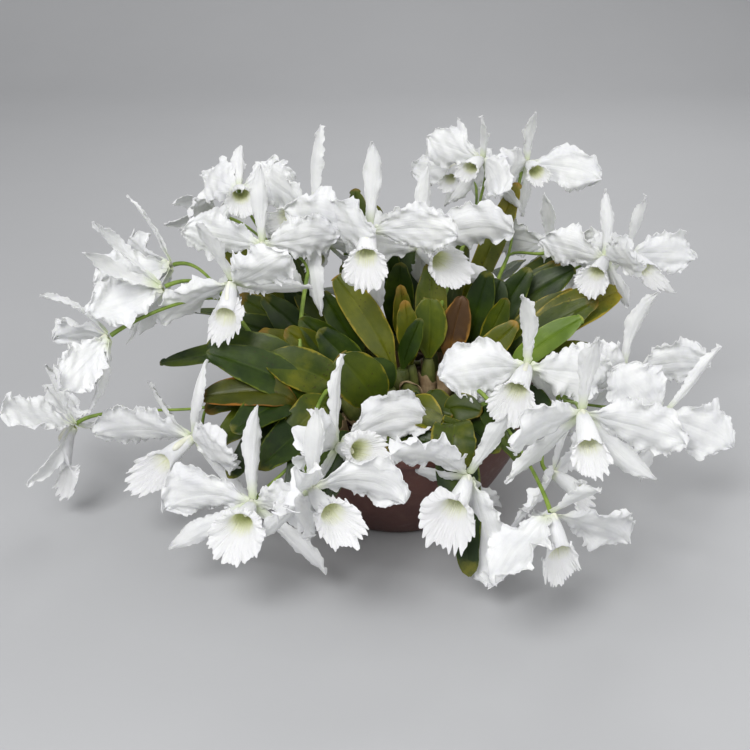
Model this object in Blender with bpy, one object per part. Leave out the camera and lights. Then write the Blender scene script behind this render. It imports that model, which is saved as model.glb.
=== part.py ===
"""A large white Cattleya in flower: its pot, bark, rhizome, spikes, flowers and leaves.

Metres, +Z up, flowers to the front (-Y). The origin is the centre of the pot's flat base.
"""

import math
import random
from collections import namedtuple

import bmesh
import bpy
from mathutils import Matrix, Vector
from mathutils.bvhtree import BVHTree

# Driving dimensions
POT_HEIGHT = 0.155
POT_RIM_RADIUS = 0.180
POT_BASE_RADIUS = 0.100
POT_WALL = 0.003
POT_STEPS = 32
BARK_LEVEL = 0.131
SEPAL_LENGTH = 0.100
GAP = 0.0006

# Pot details
RIM_DEPTH = 0.012
RIM_PROUD = 0.006
FLOOR_THICKNESS = 0.005
BASE_BEVEL = 0.004
RIM_ROUND = 0.002
RIM_EDGE_DROP = 0.001
BOWL_ROUNDNESS = 1.6
WALL_LEVELS = (0.06, 0.2, 0.4, 0.65, 0.9)
DRAIN_HOLES = 6
DRAIN_HOLE_SIDES = 10
DRAIN_HOLE_RADIUS = 0.007
DRAIN_CIRCLE = 0.065

# Bark: shares of the pot's height or radius at which its rings lie
BARK_CLEARANCE = 0.0062
BARK_FLOOR_CLEARANCE = 0.0046
BARK_LEVELS = (0.2, 0.4, 0.65)
BARK_SHARES = (0.88, 0.62, 0.34)
BARK_EDGE_DROP = 0.003
BARK_HOLLOW = 0.003
BARK_BUMP = 0.001
BARK_SEED = 4

# Pseudobulbs and rhizome
BULB_LENGTH = 0.055
BULB_LEAN = 0.45
FULL_LEAN_REACH = 0.1
FOOT_HEIGHT = 0.004
BULB_RADII = ((0.0, 0.0055), (0.3, 0.0095), (0.65, 0.0105), (0.9, 0.0085), (1.0, 0.0070))
RHIZOME_RADIUS = 0.0045
RHIZOME_HEIGHT = 0.0082

# Stalks: a spike stands beside the base of its pseudobulb's leaf, and forks behind its flowers
SPIKE_RADIUS = 0.0026
PEDICEL_RADIUS = 0.0019
SPIKE_OFFSET = 0.0046
SPIKE_LIFT = 0.0018
LEAF_OFFSET = 0.0024
SPIKE_RISE = 0.04
FORK_SETBACK = 0.055
FORK_DROP = 0.35
FORK_ARRIVAL = 0.02
FORK_OVERLAP = 0.002
PEDICEL_REACH = 0.035
MOST_PEDICEL_REACH = 0.4
PEDICEL_END = 0.004
TUBE_SIDES = 6
TUBE_STEPS = 6

# Leaves: (share of the way along the blade, width as a share of its greatest width), and the
# section as (share of the half width, height in leaf thicknesses)
LEAF_THICKNESS = 0.0030
LEAF_FOLD = 0.16
LEAF_WIDTHS = ((0.0, 0.15), (0.14, 0.42), (0.32, 0.84), (0.56, 1.0), (0.80, 0.84), (0.94, 0.46))
LEAF_UPPER_SIDE = ((-1, 0.0), (-0.5, 0.5), (0, 0.4), (0.5, 0.5))
LEAF_LOWER_SIDE = ((1, 0.0), (0.5, -0.5), (0, -0.6), (-0.5, -0.5))
LEAF_PATH_STEPS = 24
LEAF_ERECT = 0.28
LEAF_SHORTER = 0.94

# Flower: its outline as (lobe, bearing in degrees from the right, reach in sepal lengths)
DORSAL, PETAL_R, SEPAL_R, PETAL_L, SEPAL_L, HEART = range(6)
RIGHT_OUTLINE = (
    (SEPAL_R, -63, 0.62),
    (SEPAL_R, -52, 1.00),
    (SEPAL_R, -41, 0.62),
    (HEART, -28, 0.16),
    (PETAL_R, -20, 0.45),
    (PETAL_R, -8, 0.85),
    (PETAL_R, 12, 1.02),
    (PETAL_R, 34, 0.86),
    (PETAL_R, 48, 0.48),
    (HEART, 60, 0.16),
    (DORSAL, 79, 0.62),
)
MIRRORED_LOBE = {SEPAL_R: SEPAL_L, PETAL_R: PETAL_L, DORSAL: DORSAL, HEART: HEART}
TIP_DEPTH = {
    DORSAL: -0.012,
    SEPAL_R: -0.010,
    SEPAL_L: -0.010,
    PETAL_R: 0.006,
    PETAL_L: 0.006,
    HEART: 0.0,
}
HEART_REACH = 0.14
BACK_RADIUS = 0.0045
BACK_DEPTH = -0.004
BLADE_THICKNESS = 0.003
BLADE_BANDS = 3
LIP_BASE = (0.008, 0.004)
LIP_NECK = (0.011, 0.028)
LIP_MOUTH = (0.030, 0.048)
LIP_DROP = 0.014
LIP_THROAT_DEPTH = 0.024
LIP_BASE_MARGIN = 1.1
LOBE_SHORTER = 0.94
MOST_TRIES = 60

PETAL_WHITE = (0.86, 0.86, 0.84)
LEAF_GREEN = (0.09, 0.14, 0.035)
BULB_GREEN = (0.16, 0.19, 0.06)
STALK_GREEN = (0.27, 0.38, 0.06)
POT_BROWN = (0.085, 0.030, 0.026)
BARK_BROWN = (0.075, 0.045, 0.028)

# A growth: where its pseudobulb stands on the bark, its leaf's tip and width, and the bearing
# and the nod that the leaf's upper side faces (degrees, as for a flower)
Growth = namedtuple("Growth", "foot tip width facing nod")
GROWTHS = {
    "west": Growth((-0.125, -0.020), (-0.300, 0.000, 0.190), 0.040, 0, 75),
    "west_front": Growth((-0.100, -0.105), (-0.235, -0.110, 0.200), 0.045, 0, 60),
    "west_upper": Growth((-0.085, -0.060), (-0.230, -0.050, 0.245), 0.055, 5, 45),
    "west_inner": Growth((-0.045, -0.080), (-0.160, -0.080, 0.235), 0.055, 5, 45),
    "front_broad": Growth((-0.010, -0.115), (-0.070, -0.130, 0.265), 0.060, 5, 30),
    "long_gold": Growth((0.015, -0.020), (-0.085, 0.040, 0.305), 0.045, 10, 30),
    "back_west": Growth((-0.050, 0.030), (-0.130, 0.070, 0.275), 0.045, 0, 30),
    "upright": Growth((0.040, 0.010), (0.042, 0.045, 0.325), 0.045, 0, 30),
    "inner_east": Growth((0.095, 0.060), (0.135, 0.085, 0.270), 0.045, 0, 30),
    "pale_east": Growth((0.115, -0.030), (0.225, -0.025, 0.265), 0.035, -10, 45),
    "back_east": Growth((0.105, 0.095), (0.235, 0.110, 0.275), 0.045, -10, 45),
    "far_east": Growth((0.140, 0.025), (0.340, 0.070, 0.280), 0.055, -15, 45),
    "front_low": Growth((0.010, -0.070), (0.065, -0.150, 0.170), 0.050, 10, 70),
    "front_small": Growth((0.060, -0.080), (0.110, -0.110, 0.190), 0.035, -10, 45),
    "hanging": Growth((0.050, -0.130), (0.070, -0.245, 0.040), 0.050, 10, 20),
    "back_tall": Growth((-0.020, 0.105), (-0.055, 0.170, 0.365), 0.040, 0, 20),
    "back_narrow": Growth((0.070, 0.125), (0.165, 0.195, 0.365), 0.035, 0, 20),
}

# The flowers' numbers on each spike, by the growth that the spike leaves
SPIKES = {
    "west": (3, 4, 5, 6),
    "west_front": (1, 2),
    "back_west": (27, 28),
    "west_upper": (7, 8),
    "back_tall": (9, 10, 11),
    "upright": (12, 13),
    "inner_east": (14, 15),
    "back_east": (16, 17),
    "pale_east": (18, 20, 23, 29),
    "front_small": (19, 21, 22),
    "west_inner": (24, 25, 26),
}

# A flower: its heart, then in degrees the bearing that it faces (0 to the front, + to the
# right), its nod (+ up) and its roll (+ to the viewer's right), and its size
Flower = namedtuple("Flower", "heart facing nod roll size")
FLOWERS = {
    1: Flower((-0.400, -0.060, 0.135), -70, -40, 0, 1.00),
    2: Flower((-0.245, -0.120, 0.150), -50, -10, 0, 1.00),
    3: Flower((-0.285, 0.060, 0.300), -100, -20, 0, 1.00),
    4: Flower((-0.275, -0.060, 0.320), -85, -25, 0, 1.00),
    5: Flower((-0.335, -0.100, 0.275), -75, -35, 0, 0.95),
    6: Flower((-0.195, -0.060, 0.325), -10, -35, -25, 1.00),
    7: Flower((-0.165, 0.010, 0.345), 0, 0, 0, 0.95),
    8: Flower((-0.105, 0.060, 0.370), -50, 0, 5, 1.05),
    9: Flower((-0.090, 0.130, 0.300), -30, -20, 0, 0.85),
    10: Flower((-0.035, 0.020, 0.360), -5, 0, 0, 1.05),
    11: Flower((0.030, 0.090, 0.310), 20, 0, 4, 1.05),
    12: Flower((0.115, 0.200, 0.395), -30, 10, 0, 0.85),
    13: Flower((0.095, 0.300, 0.355), -50, 5, -5, 0.80),
    14: Flower((0.180, 0.230, 0.380), 15, 10, 5, 0.90),
    15: Flower((0.210, 0.170, 0.280), 150, 20, 0, 0.90),
    16: Flower((0.265, 0.070, 0.305), -15, 5, 0, 0.85),
    17: Flower((0.310, 0.160, 0.275), 40, 0, 5, 0.95),
    18: Flower((0.285, -0.020, 0.185), 35, 0, 15, 1.05),
    19: Flower((0.150, -0.100, 0.235), -15, 10, 0, 1.05),
    20: Flower((0.195, -0.220, 0.240), 5, -10, 0, 1.05),
    21: Flower((0.075, -0.220, 0.160), -15, -25, 25, 1.00),
    22: Flower((0.160, -0.280, 0.150), 15, -40, 30, 1.00),
    23: Flower((0.180, -0.150, 0.120), 60, -10, 0, 0.90),
    24: Flower((-0.070, -0.190, 0.180), 40, 10, 0, 1.00),
    25: Flower((-0.095, -0.270, 0.175), 20, -10, 0, 1.00),
    26: Flower((-0.165, -0.230, 0.130), -10, 5, 0, 1.00),
    27: Flower((-0.200, 0.100, 0.385), 10, 30, 0, 0.90),
    28: Flower((-0.240, 0.190, 0.320), -110, 0, -10, 0.80),
    29: Flower((0.320, -0.085, 0.160), 20, 0, 40, 1.05),
}

placed = []


def clear_scene():
    """Removes every object of the scene that this script starts from."""
    for thing in list(bpy.data.objects):
        bpy.data.objects.remove(thing, do_unlink=True)


def finish(name, colour, roughness):
    """A Principled material of one colour."""
    material = bpy.data.materials.new(name)
    material.use_nodes = True
    shader = material.node_tree.nodes["Principled BSDF"]
    shader.inputs["Base Color"].default_value = (*colour, 1.0)
    shader.inputs["Roughness"].default_value = roughness
    return material


def skin(rings, start=None, end=None):
    """Points and faces of a closed solid through rings of equal length, each end capped or
    drawn to a point. Seen from the start, each ring runs clockwise."""
    count = len(rings[0])
    points = [point for ring in rings for point in ring]
    faces = []
    for band in range(len(rings) - 1):
        low, high = band * count, (band + 1) * count
        for i in range(count):
            j = (i + 1) % count
            faces.append((low + i, low + j, high + j, high + i))
    last = (len(rings) - 1) * count
    if start is None:
        faces.append(tuple(reversed(range(count))))
    else:
        points.append(start)
        faces += [(len(points) - 1, (i + 1) % count, i) for i in range(count)]
    if end is None:
        faces.append(tuple(range(last, last + count)))
    else:
        points.append(end)
        faces += [(len(points) - 1, last + i, last + (i + 1) % count) for i in range(count)]
    return points, faces


def mesh_object(name, solid, material, place=Matrix.Identity(4)):
    """A smooth-shaded mesh object made from points and faces in its own axes."""
    mesh = bpy.data.meshes.new(name)
    mesh.from_pydata([tuple(point) for point in solid[0]], [], solid[1])
    work = bmesh.new()
    work.from_mesh(mesh)
    bmesh.ops.recalc_face_normals(work, faces=work.faces)
    work.to_mesh(mesh)
    work.free()
    mesh.shade_smooth()
    mesh.set_sharp_from_angle(angle=math.radians(40))
    mesh.materials.append(material)
    thing = bpy.data.objects.new(name, mesh)
    thing.matrix_world = place
    bpy.context.scene.collection.objects.link(thing)
    return thing


def moved(solid, place):
    """The same solid in world axes."""
    return [place @ Vector(point) for point in solid[0]], solid[1]


def tree_of(solid):
    """A search tree of a solid's faces."""
    return BVHTree.FromPolygons([tuple(point) for point in solid[0]], solid[1])


def keep(solid):
    """Adds a solid in world axes to those that later pieces stay clear of."""
    placed.append(tree_of(solid))


def swollen(solid, by):
    """The solid with each point moved out along the mean of its faces' normals."""
    points, faces = solid
    normals = [Vector() for _ in points]
    for face in faces:
        a, b, c = (Vector(points[face[k]]) for k in range(3))
        normal = (b - a).cross(c - a).normalized()
        for index in face:
            normals[index] += normal
    centre = sum((Vector(point) for point in points), Vector()) / len(points)
    outward = sum(n.dot(Vector(p) - centre) for n, p in zip(normals, points))
    sign = 1 if outward > 0 else -1
    return [Vector(p) + sign * by * n.normalized() for n, p in zip(normals, points)], faces


def touched_faces(solid):
    """The numbers of the solid's faces that come within the gap of a placed solid."""
    tree = tree_of(swollen(solid, GAP / 2))
    return {mine for other in placed for mine, _ in tree.overlap(other)}


def bezier(controls, steps):
    """Points along a cubic curve, with its ends."""
    a, b, c, d = (Vector(control) for control in controls)
    shares = [step / steps for step in range(steps + 1)]
    return [
        a * (1 - t) ** 3 + b * 3 * t * (1 - t) ** 2 + c * 3 * t * t * (1 - t) + d * t**3
        for t in shares
    ]


def turns_of(count):
    """The cosine and sine of each of a number of equal turns."""
    angles = [2 * math.pi * k / count for k in range(count)]
    return [(math.cos(angle), math.sin(angle)) for angle in angles]


def tube(path, radii):
    """A solid tube along a path, with a radius at each of its points."""
    side = (path[1] - path[0]).orthogonal().normalized()
    rings = []
    for i, centre in enumerate(path):
        ahead = (path[min(i + 1, len(path) - 1)] - path[max(i - 1, 0)]).normalized()
        side = (side - ahead * side.dot(ahead)).normalized()
        other = ahead.cross(side)
        spokes = [side * x + other * y for x, y in turns_of(TUBE_SIDES)]
        rings.append([centre + radii[i] * spoke for spoke in spokes])
    return skin(rings)


def united(name, solids, material):
    """One object made of overlapping solids joined by Boolean union."""
    helpers = bpy.data.collections.new(name + "_limbs")
    bpy.context.scene.collection.children.link(helpers)
    main = mesh_object(name, solids[0], material)
    for number, solid in enumerate(solids[1:], 1):
        limb = mesh_object(f"{name}_limb_{number}", solid, material)
        limb.hide_render = True
        limb.display_type = "WIRE"
        bpy.context.scene.collection.objects.unlink(limb)
        helpers.objects.link(limb)
    union = main.modifiers.new("Union", "BOOLEAN")
    union.operation = "UNION"
    union.solver = "EXACT"
    union.operand_type = "COLLECTION"
    union.collection = helpers
    union.use_self = False
    for solid in solids:
        keep(solid)
    return main


def wall_radius(height):
    """The pot's outer radius at a height, a bowl that steepens towards its rim."""
    share = height / POT_HEIGHT
    flare = POT_RIM_RADIUS - RIM_PROUD - POT_BASE_RADIUS
    return POT_BASE_RADIUS + flare * (1 - (1 - share) ** BOWL_ROUNDNESS)


def make_pot():
    """The turned bowl with its rolled rim, and drain holes cut through its floor."""
    wall_levels = [POT_HEIGHT * share for share in WALL_LEVELS]
    inner = [(wall_radius(z) - POT_WALL, z) for z in wall_levels]
    outer = [(wall_radius(z), z) for z in reversed(wall_levels)]
    profile = [(0.0, FLOOR_THICKNESS), (wall_radius(0) - 2 * POT_WALL, FLOOR_THICKNESS)]
    profile += inner
    profile += [
        (POT_RIM_RADIUS - RIM_PROUD - POT_WALL, POT_HEIGHT - RIM_EDGE_DROP),
        (POT_RIM_RADIUS - RIM_PROUD, POT_HEIGHT),
        (POT_RIM_RADIUS - RIM_ROUND, POT_HEIGHT - RIM_EDGE_DROP),
        (POT_RIM_RADIUS, POT_HEIGHT - RIM_DEPTH / 2),
        (POT_RIM_RADIUS - RIM_ROUND, POT_HEIGHT - RIM_DEPTH),
    ]
    profile += outer
    profile += [(POT_BASE_RADIUS - BASE_BEVEL, 0.0), (0.0, 0.0)]
    mesh = bpy.data.meshes.new("pot")
    edges = [(i, i + 1) for i in range(len(profile) - 1)]
    mesh.from_pydata([(x, 0.0, z) for x, z in profile], edges, [])
    mesh.materials.append(finish("pot_plastic", POT_BROWN, 0.45))
    pot = bpy.data.objects.new("pot", mesh)
    bpy.context.scene.collection.objects.link(pot)
    turn = pot.modifiers.new("Turn", "SCREW")
    turn.steps = POT_STEPS
    turn.render_steps = POT_STEPS
    turn.use_merge_vertices = True
    turn.merge_threshold = 0.0001
    turn.use_smooth_shade = True
    for number, (x, y) in enumerate(turns_of(DRAIN_HOLES)):
        drill = drain_drill(number, DRAIN_CIRCLE * x, DRAIN_CIRCLE * y)
        cut = pot.modifiers.new(f"Drain_{number}", "BOOLEAN")
        cut.operation = "DIFFERENCE"
        cut.solver = "EXACT"
        cut.object = drill


def drain_drill(number, x, y):
    """A hidden round cutter through the pot's floor."""
    mesh = bpy.data.meshes.new(f"drill_{number}")
    work = bmesh.new()
    bmesh.ops.create_cone(
        work,
        cap_ends=True,
        segments=DRAIN_HOLE_SIDES,
        radius1=DRAIN_HOLE_RADIUS,
        radius2=DRAIN_HOLE_RADIUS,
        depth=4 * FLOOR_THICKNESS,
    )
    work.to_mesh(mesh)
    work.free()
    drill = bpy.data.objects.new(f"drill_{number}", mesh)
    drill.location = (x, y, 0.0)
    drill.hide_render = True
    drill.display_type = "WIRE"
    bpy.context.scene.collection.objects.link(drill)
    return drill


def keep_pot_shape():
    """Keeps later pieces clear of the pot's outside and rim."""
    belly = WALL_LEVELS[2] * POT_HEIGHT
    levels = [(POT_BASE_RADIUS, 0.0), (wall_radius(belly), belly)]
    levels += [(POT_RIM_RADIUS, POT_HEIGHT - RIM_DEPTH), (POT_RIM_RADIUS, POT_HEIGHT)]
    levels += [(POT_RIM_RADIUS - RIM_PROUD - POT_WALL, POT_HEIGHT)]
    levels += [(wall_radius(BARK_LEVEL) - POT_WALL, BARK_LEVEL)]
    keep(skin([circle(radius, height) for radius, height in levels]))


def circle(radius, height):
    """A ring of points round the pot's axis."""
    return [Vector((radius * x, radius * y, height)) for x, y in turns_of(POT_STEPS)]


def make_bark():
    """The block of bark that fills the bowl, with an uneven top."""
    lumps = random.Random(BARK_SEED)
    levels = [FLOOR_THICKNESS + BARK_FLOOR_CLEARANCE]
    levels += [POT_HEIGHT * share for share in BARK_LEVELS]
    rings = [circle(wall_radius(z) - BARK_CLEARANCE, z) for z in levels]
    edge = wall_radius(BARK_LEVEL) - BARK_CLEARANCE
    rings.append(circle(edge, BARK_LEVEL - BARK_EDGE_DROP))
    for share in BARK_SHARES:
        ring = circle(share * wall_radius(BARK_LEVEL), BARK_LEVEL)
        for point in ring:
            point.z += lumps.uniform(-BARK_HOLLOW, BARK_BUMP)
        rings.append(ring)
    solid = skin(rings, end=Vector((0, 0, BARK_LEVEL)))
    mesh_object("potting_bark", solid, finish("bark", BARK_BROWN, 0.9))
    keep(solid)


def bulb_axis(growth):
    """Foot and top of a growth's pseudobulb: it leans the way its leaf goes."""
    foot = Vector((*growth.foot, BARK_LEVEL + FOOT_HEIGHT))
    out = Vector(growth.tip) - foot
    out.z = 0
    slant = BULB_LEAN * min(1, out.length / FULL_LEAN_REACH)
    lean = (Vector((0, 0, 1)) + out.normalized() * slant).normalized()
    return foot, foot + lean * BULB_LENGTH


def make_rhizome():
    """Every pseudobulb, joined by stems that creep over the bark to an older neighbour."""
    solids = []
    for growth in GROWTHS.values():
        foot, top = bulb_axis(growth)
        path = [foot.lerp(top, share) for share, _ in BULB_RADII]
        solids.append(tube(path, [radius for _, radius in BULB_RADII]))
    height = BARK_LEVEL + RHIZOME_HEIGHT
    feet = [Vector((*growth.foot, height)) for growth in GROWTHS.values()]
    feet.sort(key=lambda foot: foot.xy.length)
    for number, foot in enumerate(feet[1:], 1):
        parent = min(feet[:number], key=lambda older: (older - foot).length)
        solids.append(tube([foot, foot.lerp(parent, 0.5), parent], [RHIZOME_RADIUS] * 3))
    united("rhizome", solids, finish("pseudobulb", BULB_GREEN, 0.5))


def direction(facing, nod):
    """The unit vector of a bearing and a nod in degrees."""
    facing, nod = math.radians(facing), math.radians(nod)
    level = Vector((math.sin(facing), -math.cos(facing), 0.0))
    return level * math.cos(nod) + Vector((0.0, 0.0, math.sin(nod)))


def flower_place(flower):
    """The flower's own axes: x to its viewer's right, y up and z the way that it faces."""
    facing, roll = math.radians(flower.facing), math.radians(flower.roll)
    ahead = direction(flower.facing, flower.nod)
    right = Vector((math.cos(facing), math.sin(facing), 0.0))
    up = ahead.cross(right)
    turned_up = up * math.cos(roll) + right * math.sin(roll)
    turned_right = right * math.cos(roll) - up * math.sin(roll)
    axes = Matrix((turned_right, turned_up, ahead)).transposed().to_4x4()
    return Matrix.Translation(flower.heart) @ axes


def leaf_face(growth):
    """The direction that a leaf's upper side faces."""
    return direction(growth.facing, growth.nod)


def spike_fork(root, flowers):
    """The place where a spike forks: behind its flowers, and a little down towards its root."""
    behind = Vector()
    for flower in flowers:
        ahead = direction(flower.facing, flower.nod)
        behind += (Vector(flower.heart) - ahead * FORK_SETBACK) / len(flowers)
    return behind.lerp(root, FORK_DROP)


def spike_side(name, top, lean):
    """The way from a leaf's base to its growth's spike: the side that the spike bends to."""
    if name not in SPIKES:
        return Vector()
    growth = GROWTHS[name]
    face = leaf_face(growth)
    across = (face - lean * face.dot(lean)).normalized()
    fork = spike_fork(top, [FLOWERS[number] for number in SPIKES[name]])
    apart = (fork - top).normalized() - (Vector(growth.tip) - top).normalized()
    return across if apart.dot(across) > 0 else -across


def make_spike(number, name, material):
    """A stalk from the top of its pseudobulb to a fork, and from there to each flower."""
    foot, top = bulb_axis(GROWTHS[name])
    lean = (top - foot).normalized()
    root = top + lean * SPIKE_LIFT + spike_side(name, top, lean) * SPIKE_OFFSET
    flowers = [FLOWERS[flower_number] for flower_number in SPIKES[name]]
    fork = spike_fork(root, flowers)
    bend = root + lean * SPIKE_RISE
    arrival = (fork - bend).normalized()
    end = fork + arrival * FORK_OVERLAP
    path = bezier((root, bend, fork - arrival * FORK_ARRIVAL, end), TUBE_STEPS)
    solids = [tube(path, [SPIKE_RADIUS] * len(path))]
    for flower in flowers:
        ahead = direction(flower.facing, flower.nod)
        back = Vector(flower.heart) + ahead * (BACK_DEPTH * flower.size - GAP)
        neck = back - ahead * PEDICEL_END
        reach = min(PEDICEL_REACH, MOST_PEDICEL_REACH * (neck - fork).length)
        path = bezier((fork, fork + arrival * reach, neck - ahead * reach, neck), TUBE_STEPS - 1)
        solids.append(tube(path + [back], [PEDICEL_RADIUS] * (len(path) + 1)))
    united(f"spike_{number:02d}", solids, material)


def flower_outline():
    """The outline of a flower, anticlockwise from straight down."""
    left = [(MIRRORED_LOBE[lobe], 180 - bearing, reach) for lobe, bearing, reach in RIGHT_OUTLINE]
    top = [(DORSAL, 90, 1.0)]
    return [(HEART, -90, HEART_REACH), *RIGHT_OUTLINE, *top, *reversed(left)]


def oval(turns, radius, drop, depth):
    """A ring of the flower's lip: round, dropped below the heart and at a depth before it."""
    return [Vector((x * radius, y * radius - drop, depth)) for x, y in turns]


def flower_solid(size, lobe_scale):
    """A flower in its own axes: five flat blades round a lip shaped like a trumpet."""
    outline = flower_outline()
    angles = [math.radians(bearing) for _, bearing, _ in outline]
    turns = [(math.cos(angle), math.sin(angle)) for angle in angles]
    rim, middle = [], []
    for (lobe, _, reach), (x, y) in zip(outline, turns):
        scale = lobe_scale[lobe]
        length = SEPAL_LENGTH * max(reach * scale, HEART_REACH)
        depth = TIP_DEPTH[lobe] * reach * scale
        rim.append(Vector((x * length, y * length, depth)))
        half = max(length / 2, LIP_BASE[0] * LIP_BASE_MARGIN)
        middle.append(Vector((x * half, y * half, (BACK_DEPTH + depth) / 2 + BLADE_THICKNESS)))
    lip = lobe_scale[HEART]
    back = oval(turns, BACK_RADIUS, 0.0, BACK_DEPTH)
    base = oval(turns, LIP_BASE[0], 0.0, LIP_BASE[1])
    neck = oval(turns, LIP_NECK[0], LIP_DROP / 4, LIP_NECK[1] * lip)
    mouth = oval(turns, LIP_MOUTH[0] * lip, LIP_DROP * lip, LIP_MOUTH[1] * lip)
    for point, (_, y) in zip(mouth, turns):
        point.z -= y * LIP_DROP * lip
    throat = Vector((0, -LIP_DROP / 3, LIP_THROAT_DEPTH * lip))
    points, faces = skin([back, rim, middle, base, neck, mouth], end=throat)
    return [point * size for point in points], faces


def blame(faces):
    """The lobes that the touched faces belong to, or the lip."""
    outline = flower_outline()
    count = len(outline)
    lobes = set()
    for face in faces:
        band, i = divmod(face, count)
        nearest = {outline[i][0], outline[(i + 1) % count][0]} - {HEART}
        lobes |= nearest if band < BLADE_BANDS and nearest else {HEART}
    return lobes


def make_flower(number, flower, material):
    """A flower whose lobes are shortened until they clear every piece placed before."""
    place = flower_place(flower)
    lobe_scale = {lobe: 1.0 for lobe in TIP_DEPTH}
    for _ in range(MOST_TRIES):
        solid = flower_solid(flower.size, lobe_scale)
        touched = touched_faces(moved(solid, place))
        if not touched:
            break
        for lobe in blame(touched):
            lobe_scale[lobe] *= LOBE_SHORTER
    else:
        raise RuntimeError(f"flower_{number:02d} has no room")
    mesh_object(f"flower_{number:02d}", solid, material, place)
    keep(moved(solid, place))


def leaf_solid(name, length_scale):
    """A thick strap leaf from the top of its pseudobulb, folded along its midrib."""
    growth = GROWTHS[name]
    foot, top = bulb_axis(growth)
    lean = (top - foot).normalized()
    root = top + lean * GAP - spike_side(name, top, lean) * LEAF_OFFSET
    tip = Vector(growth.tip)
    bend = root + lean * (tip - root).length * LEAF_ERECT
    path = bezier((root, bend, bend.lerp(tip, 0.5), tip), LEAF_PATH_STEPS)
    face = leaf_face(growth)
    rings = []
    for share, width in LEAF_WIDTHS:
        index = share * length_scale * (len(path) - 1)
        low = min(int(index), len(path) - 2)
        centre = path[low].lerp(path[low + 1], index - low)
        ahead = (path[low + 1] - path[low]).normalized()
        side = ahead.cross(face).normalized()
        normal = side.cross(ahead)
        half = growth.width * width / 2
        section = []
        for across, level in LEAF_UPPER_SIDE + LEAF_LOWER_SIDE:
            rise = LEAF_FOLD * abs(across) * half + level * LEAF_THICKNESS
            section.append(centre + side * across * half + normal * rise)
        rings.append(section)
    end_index = min(int(length_scale * (len(path) - 1)), len(path) - 1)
    return skin(rings, end=path[end_index])


def make_leaf(name, material):
    """A leaf that stops short of any piece placed before."""
    scale = 1.0
    for _ in range(MOST_TRIES):
        solid = leaf_solid(name, scale)
        if not touched_faces(solid):
            break
        scale *= LEAF_SHORTER
    else:
        raise RuntimeError(f"leaf_{name} has no room")
    mesh_object(f"leaf_{name}", solid, material)
    keep(solid)


def main():
    """Builds the plant from the pot up; what stands first is what later pieces avoid."""
    clear_scene()
    make_pot()
    keep_pot_shape()
    make_bark()
    make_rhizome()
    stalk = finish("stalk", STALK_GREEN, 0.45)
    for number, name in enumerate(SPIKES, 1):
        make_spike(number, name, stalk)
    petal = finish("petal", PETAL_WHITE, 0.5)
    for number, flower in FLOWERS.items():
        make_flower(number, flower, petal)
    blade = finish("leaf", LEAF_GREEN, 0.4)
    for name in GROWTHS:
        make_leaf(name, blade)


main()
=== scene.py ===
"""Looks of a large white Cattleya in flower, standing in its wide low pot.

Metres, +Z up, the flowers mostly turned to -Y. Every flower, leaf and stalk takes its place from
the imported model, and gets its true form here: thin ruffled petals, frilled lips with green
throats, grooved strap leaves, ribbed bulbs, bark chips and a turned plastic pot.
"""

from __future__ import annotations

import logging
import math
import random
from dataclasses import dataclass, field
from enum import Enum

import bpy
import numpy as np
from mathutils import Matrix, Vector


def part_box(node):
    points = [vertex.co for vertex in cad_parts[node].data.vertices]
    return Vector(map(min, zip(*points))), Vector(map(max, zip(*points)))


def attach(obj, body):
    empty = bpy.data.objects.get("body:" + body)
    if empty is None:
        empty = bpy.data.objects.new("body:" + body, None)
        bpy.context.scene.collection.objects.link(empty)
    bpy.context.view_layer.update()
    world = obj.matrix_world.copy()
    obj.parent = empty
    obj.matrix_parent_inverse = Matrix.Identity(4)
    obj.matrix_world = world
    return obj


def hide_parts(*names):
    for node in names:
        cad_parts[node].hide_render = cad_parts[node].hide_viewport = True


Array = np.ndarray
Colour = tuple[float, float, float]
Socket = bpy.types.NodeSocket

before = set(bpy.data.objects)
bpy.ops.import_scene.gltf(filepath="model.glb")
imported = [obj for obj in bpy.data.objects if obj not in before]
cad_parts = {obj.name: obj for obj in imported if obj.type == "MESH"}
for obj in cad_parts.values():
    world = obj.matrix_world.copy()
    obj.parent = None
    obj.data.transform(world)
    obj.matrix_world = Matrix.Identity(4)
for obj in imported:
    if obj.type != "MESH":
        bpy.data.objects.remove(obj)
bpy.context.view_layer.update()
LOG = logging.getLogger("orchid")

# The rule by which the model places its stalks and bulbs
FLOWER_BACK = -0.004
BULB_LENGTH = 0.055
BULB_LEAN = 0.45
FULL_LEAN_REACH = 0.1
SPIKE_RISE = 0.04
FORK_SETBACK = 0.055
FORK_DROP = 0.35
LEAF_ERECT = 0.28

# How thick the plant's thin tissues are, in metres
PETAL_THICKNESS = 0.0012
LIP_THICKNESS = 0.0010
HUSK_THICKNESS = 0.0006
SHEATH_THICKNESS = 0.0005

# How deep the ruffles are, and how far a free petal sinks under its own weight, in metres
PETAL_RUFFLE = 0.0050
SEPAL_RUFFLE = 0.0018
PETAL_DROOP = 0.006

# How finely the sheets are divided, as (along, across)
PETAL_GRID = (54, 33)
SEPAL_GRID = (36, 15)
LIP_GRID = (38, 168)
LEAF_GRID = (46, 19)
HUSK_GRID = (12, 28)

# How many rings of points the round stems have
BULB_RINGS = 22
STALK_RINGS = 30
PEDICEL_RINGS = 26
STEM_RINGS = 14

# Where the random differences of each kind of piece start from
FLOWER_SEED = 100
MORE_LEAVES_SEED = 40
ROOTS_SEED = 11
CHIPS_SEED = 5


# ---------------------------------------------------------------- shapes


def unit(vector: Array) -> Array:
    """The same direction with length one."""
    return vector / max(float(np.linalg.norm(vector)), 1e-12)


def units(vectors: Array) -> Array:
    """Each row or cell's direction with length one."""
    return vectors / np.maximum(np.linalg.norm(vectors, axis=-1, keepdims=True), 1e-12)


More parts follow.
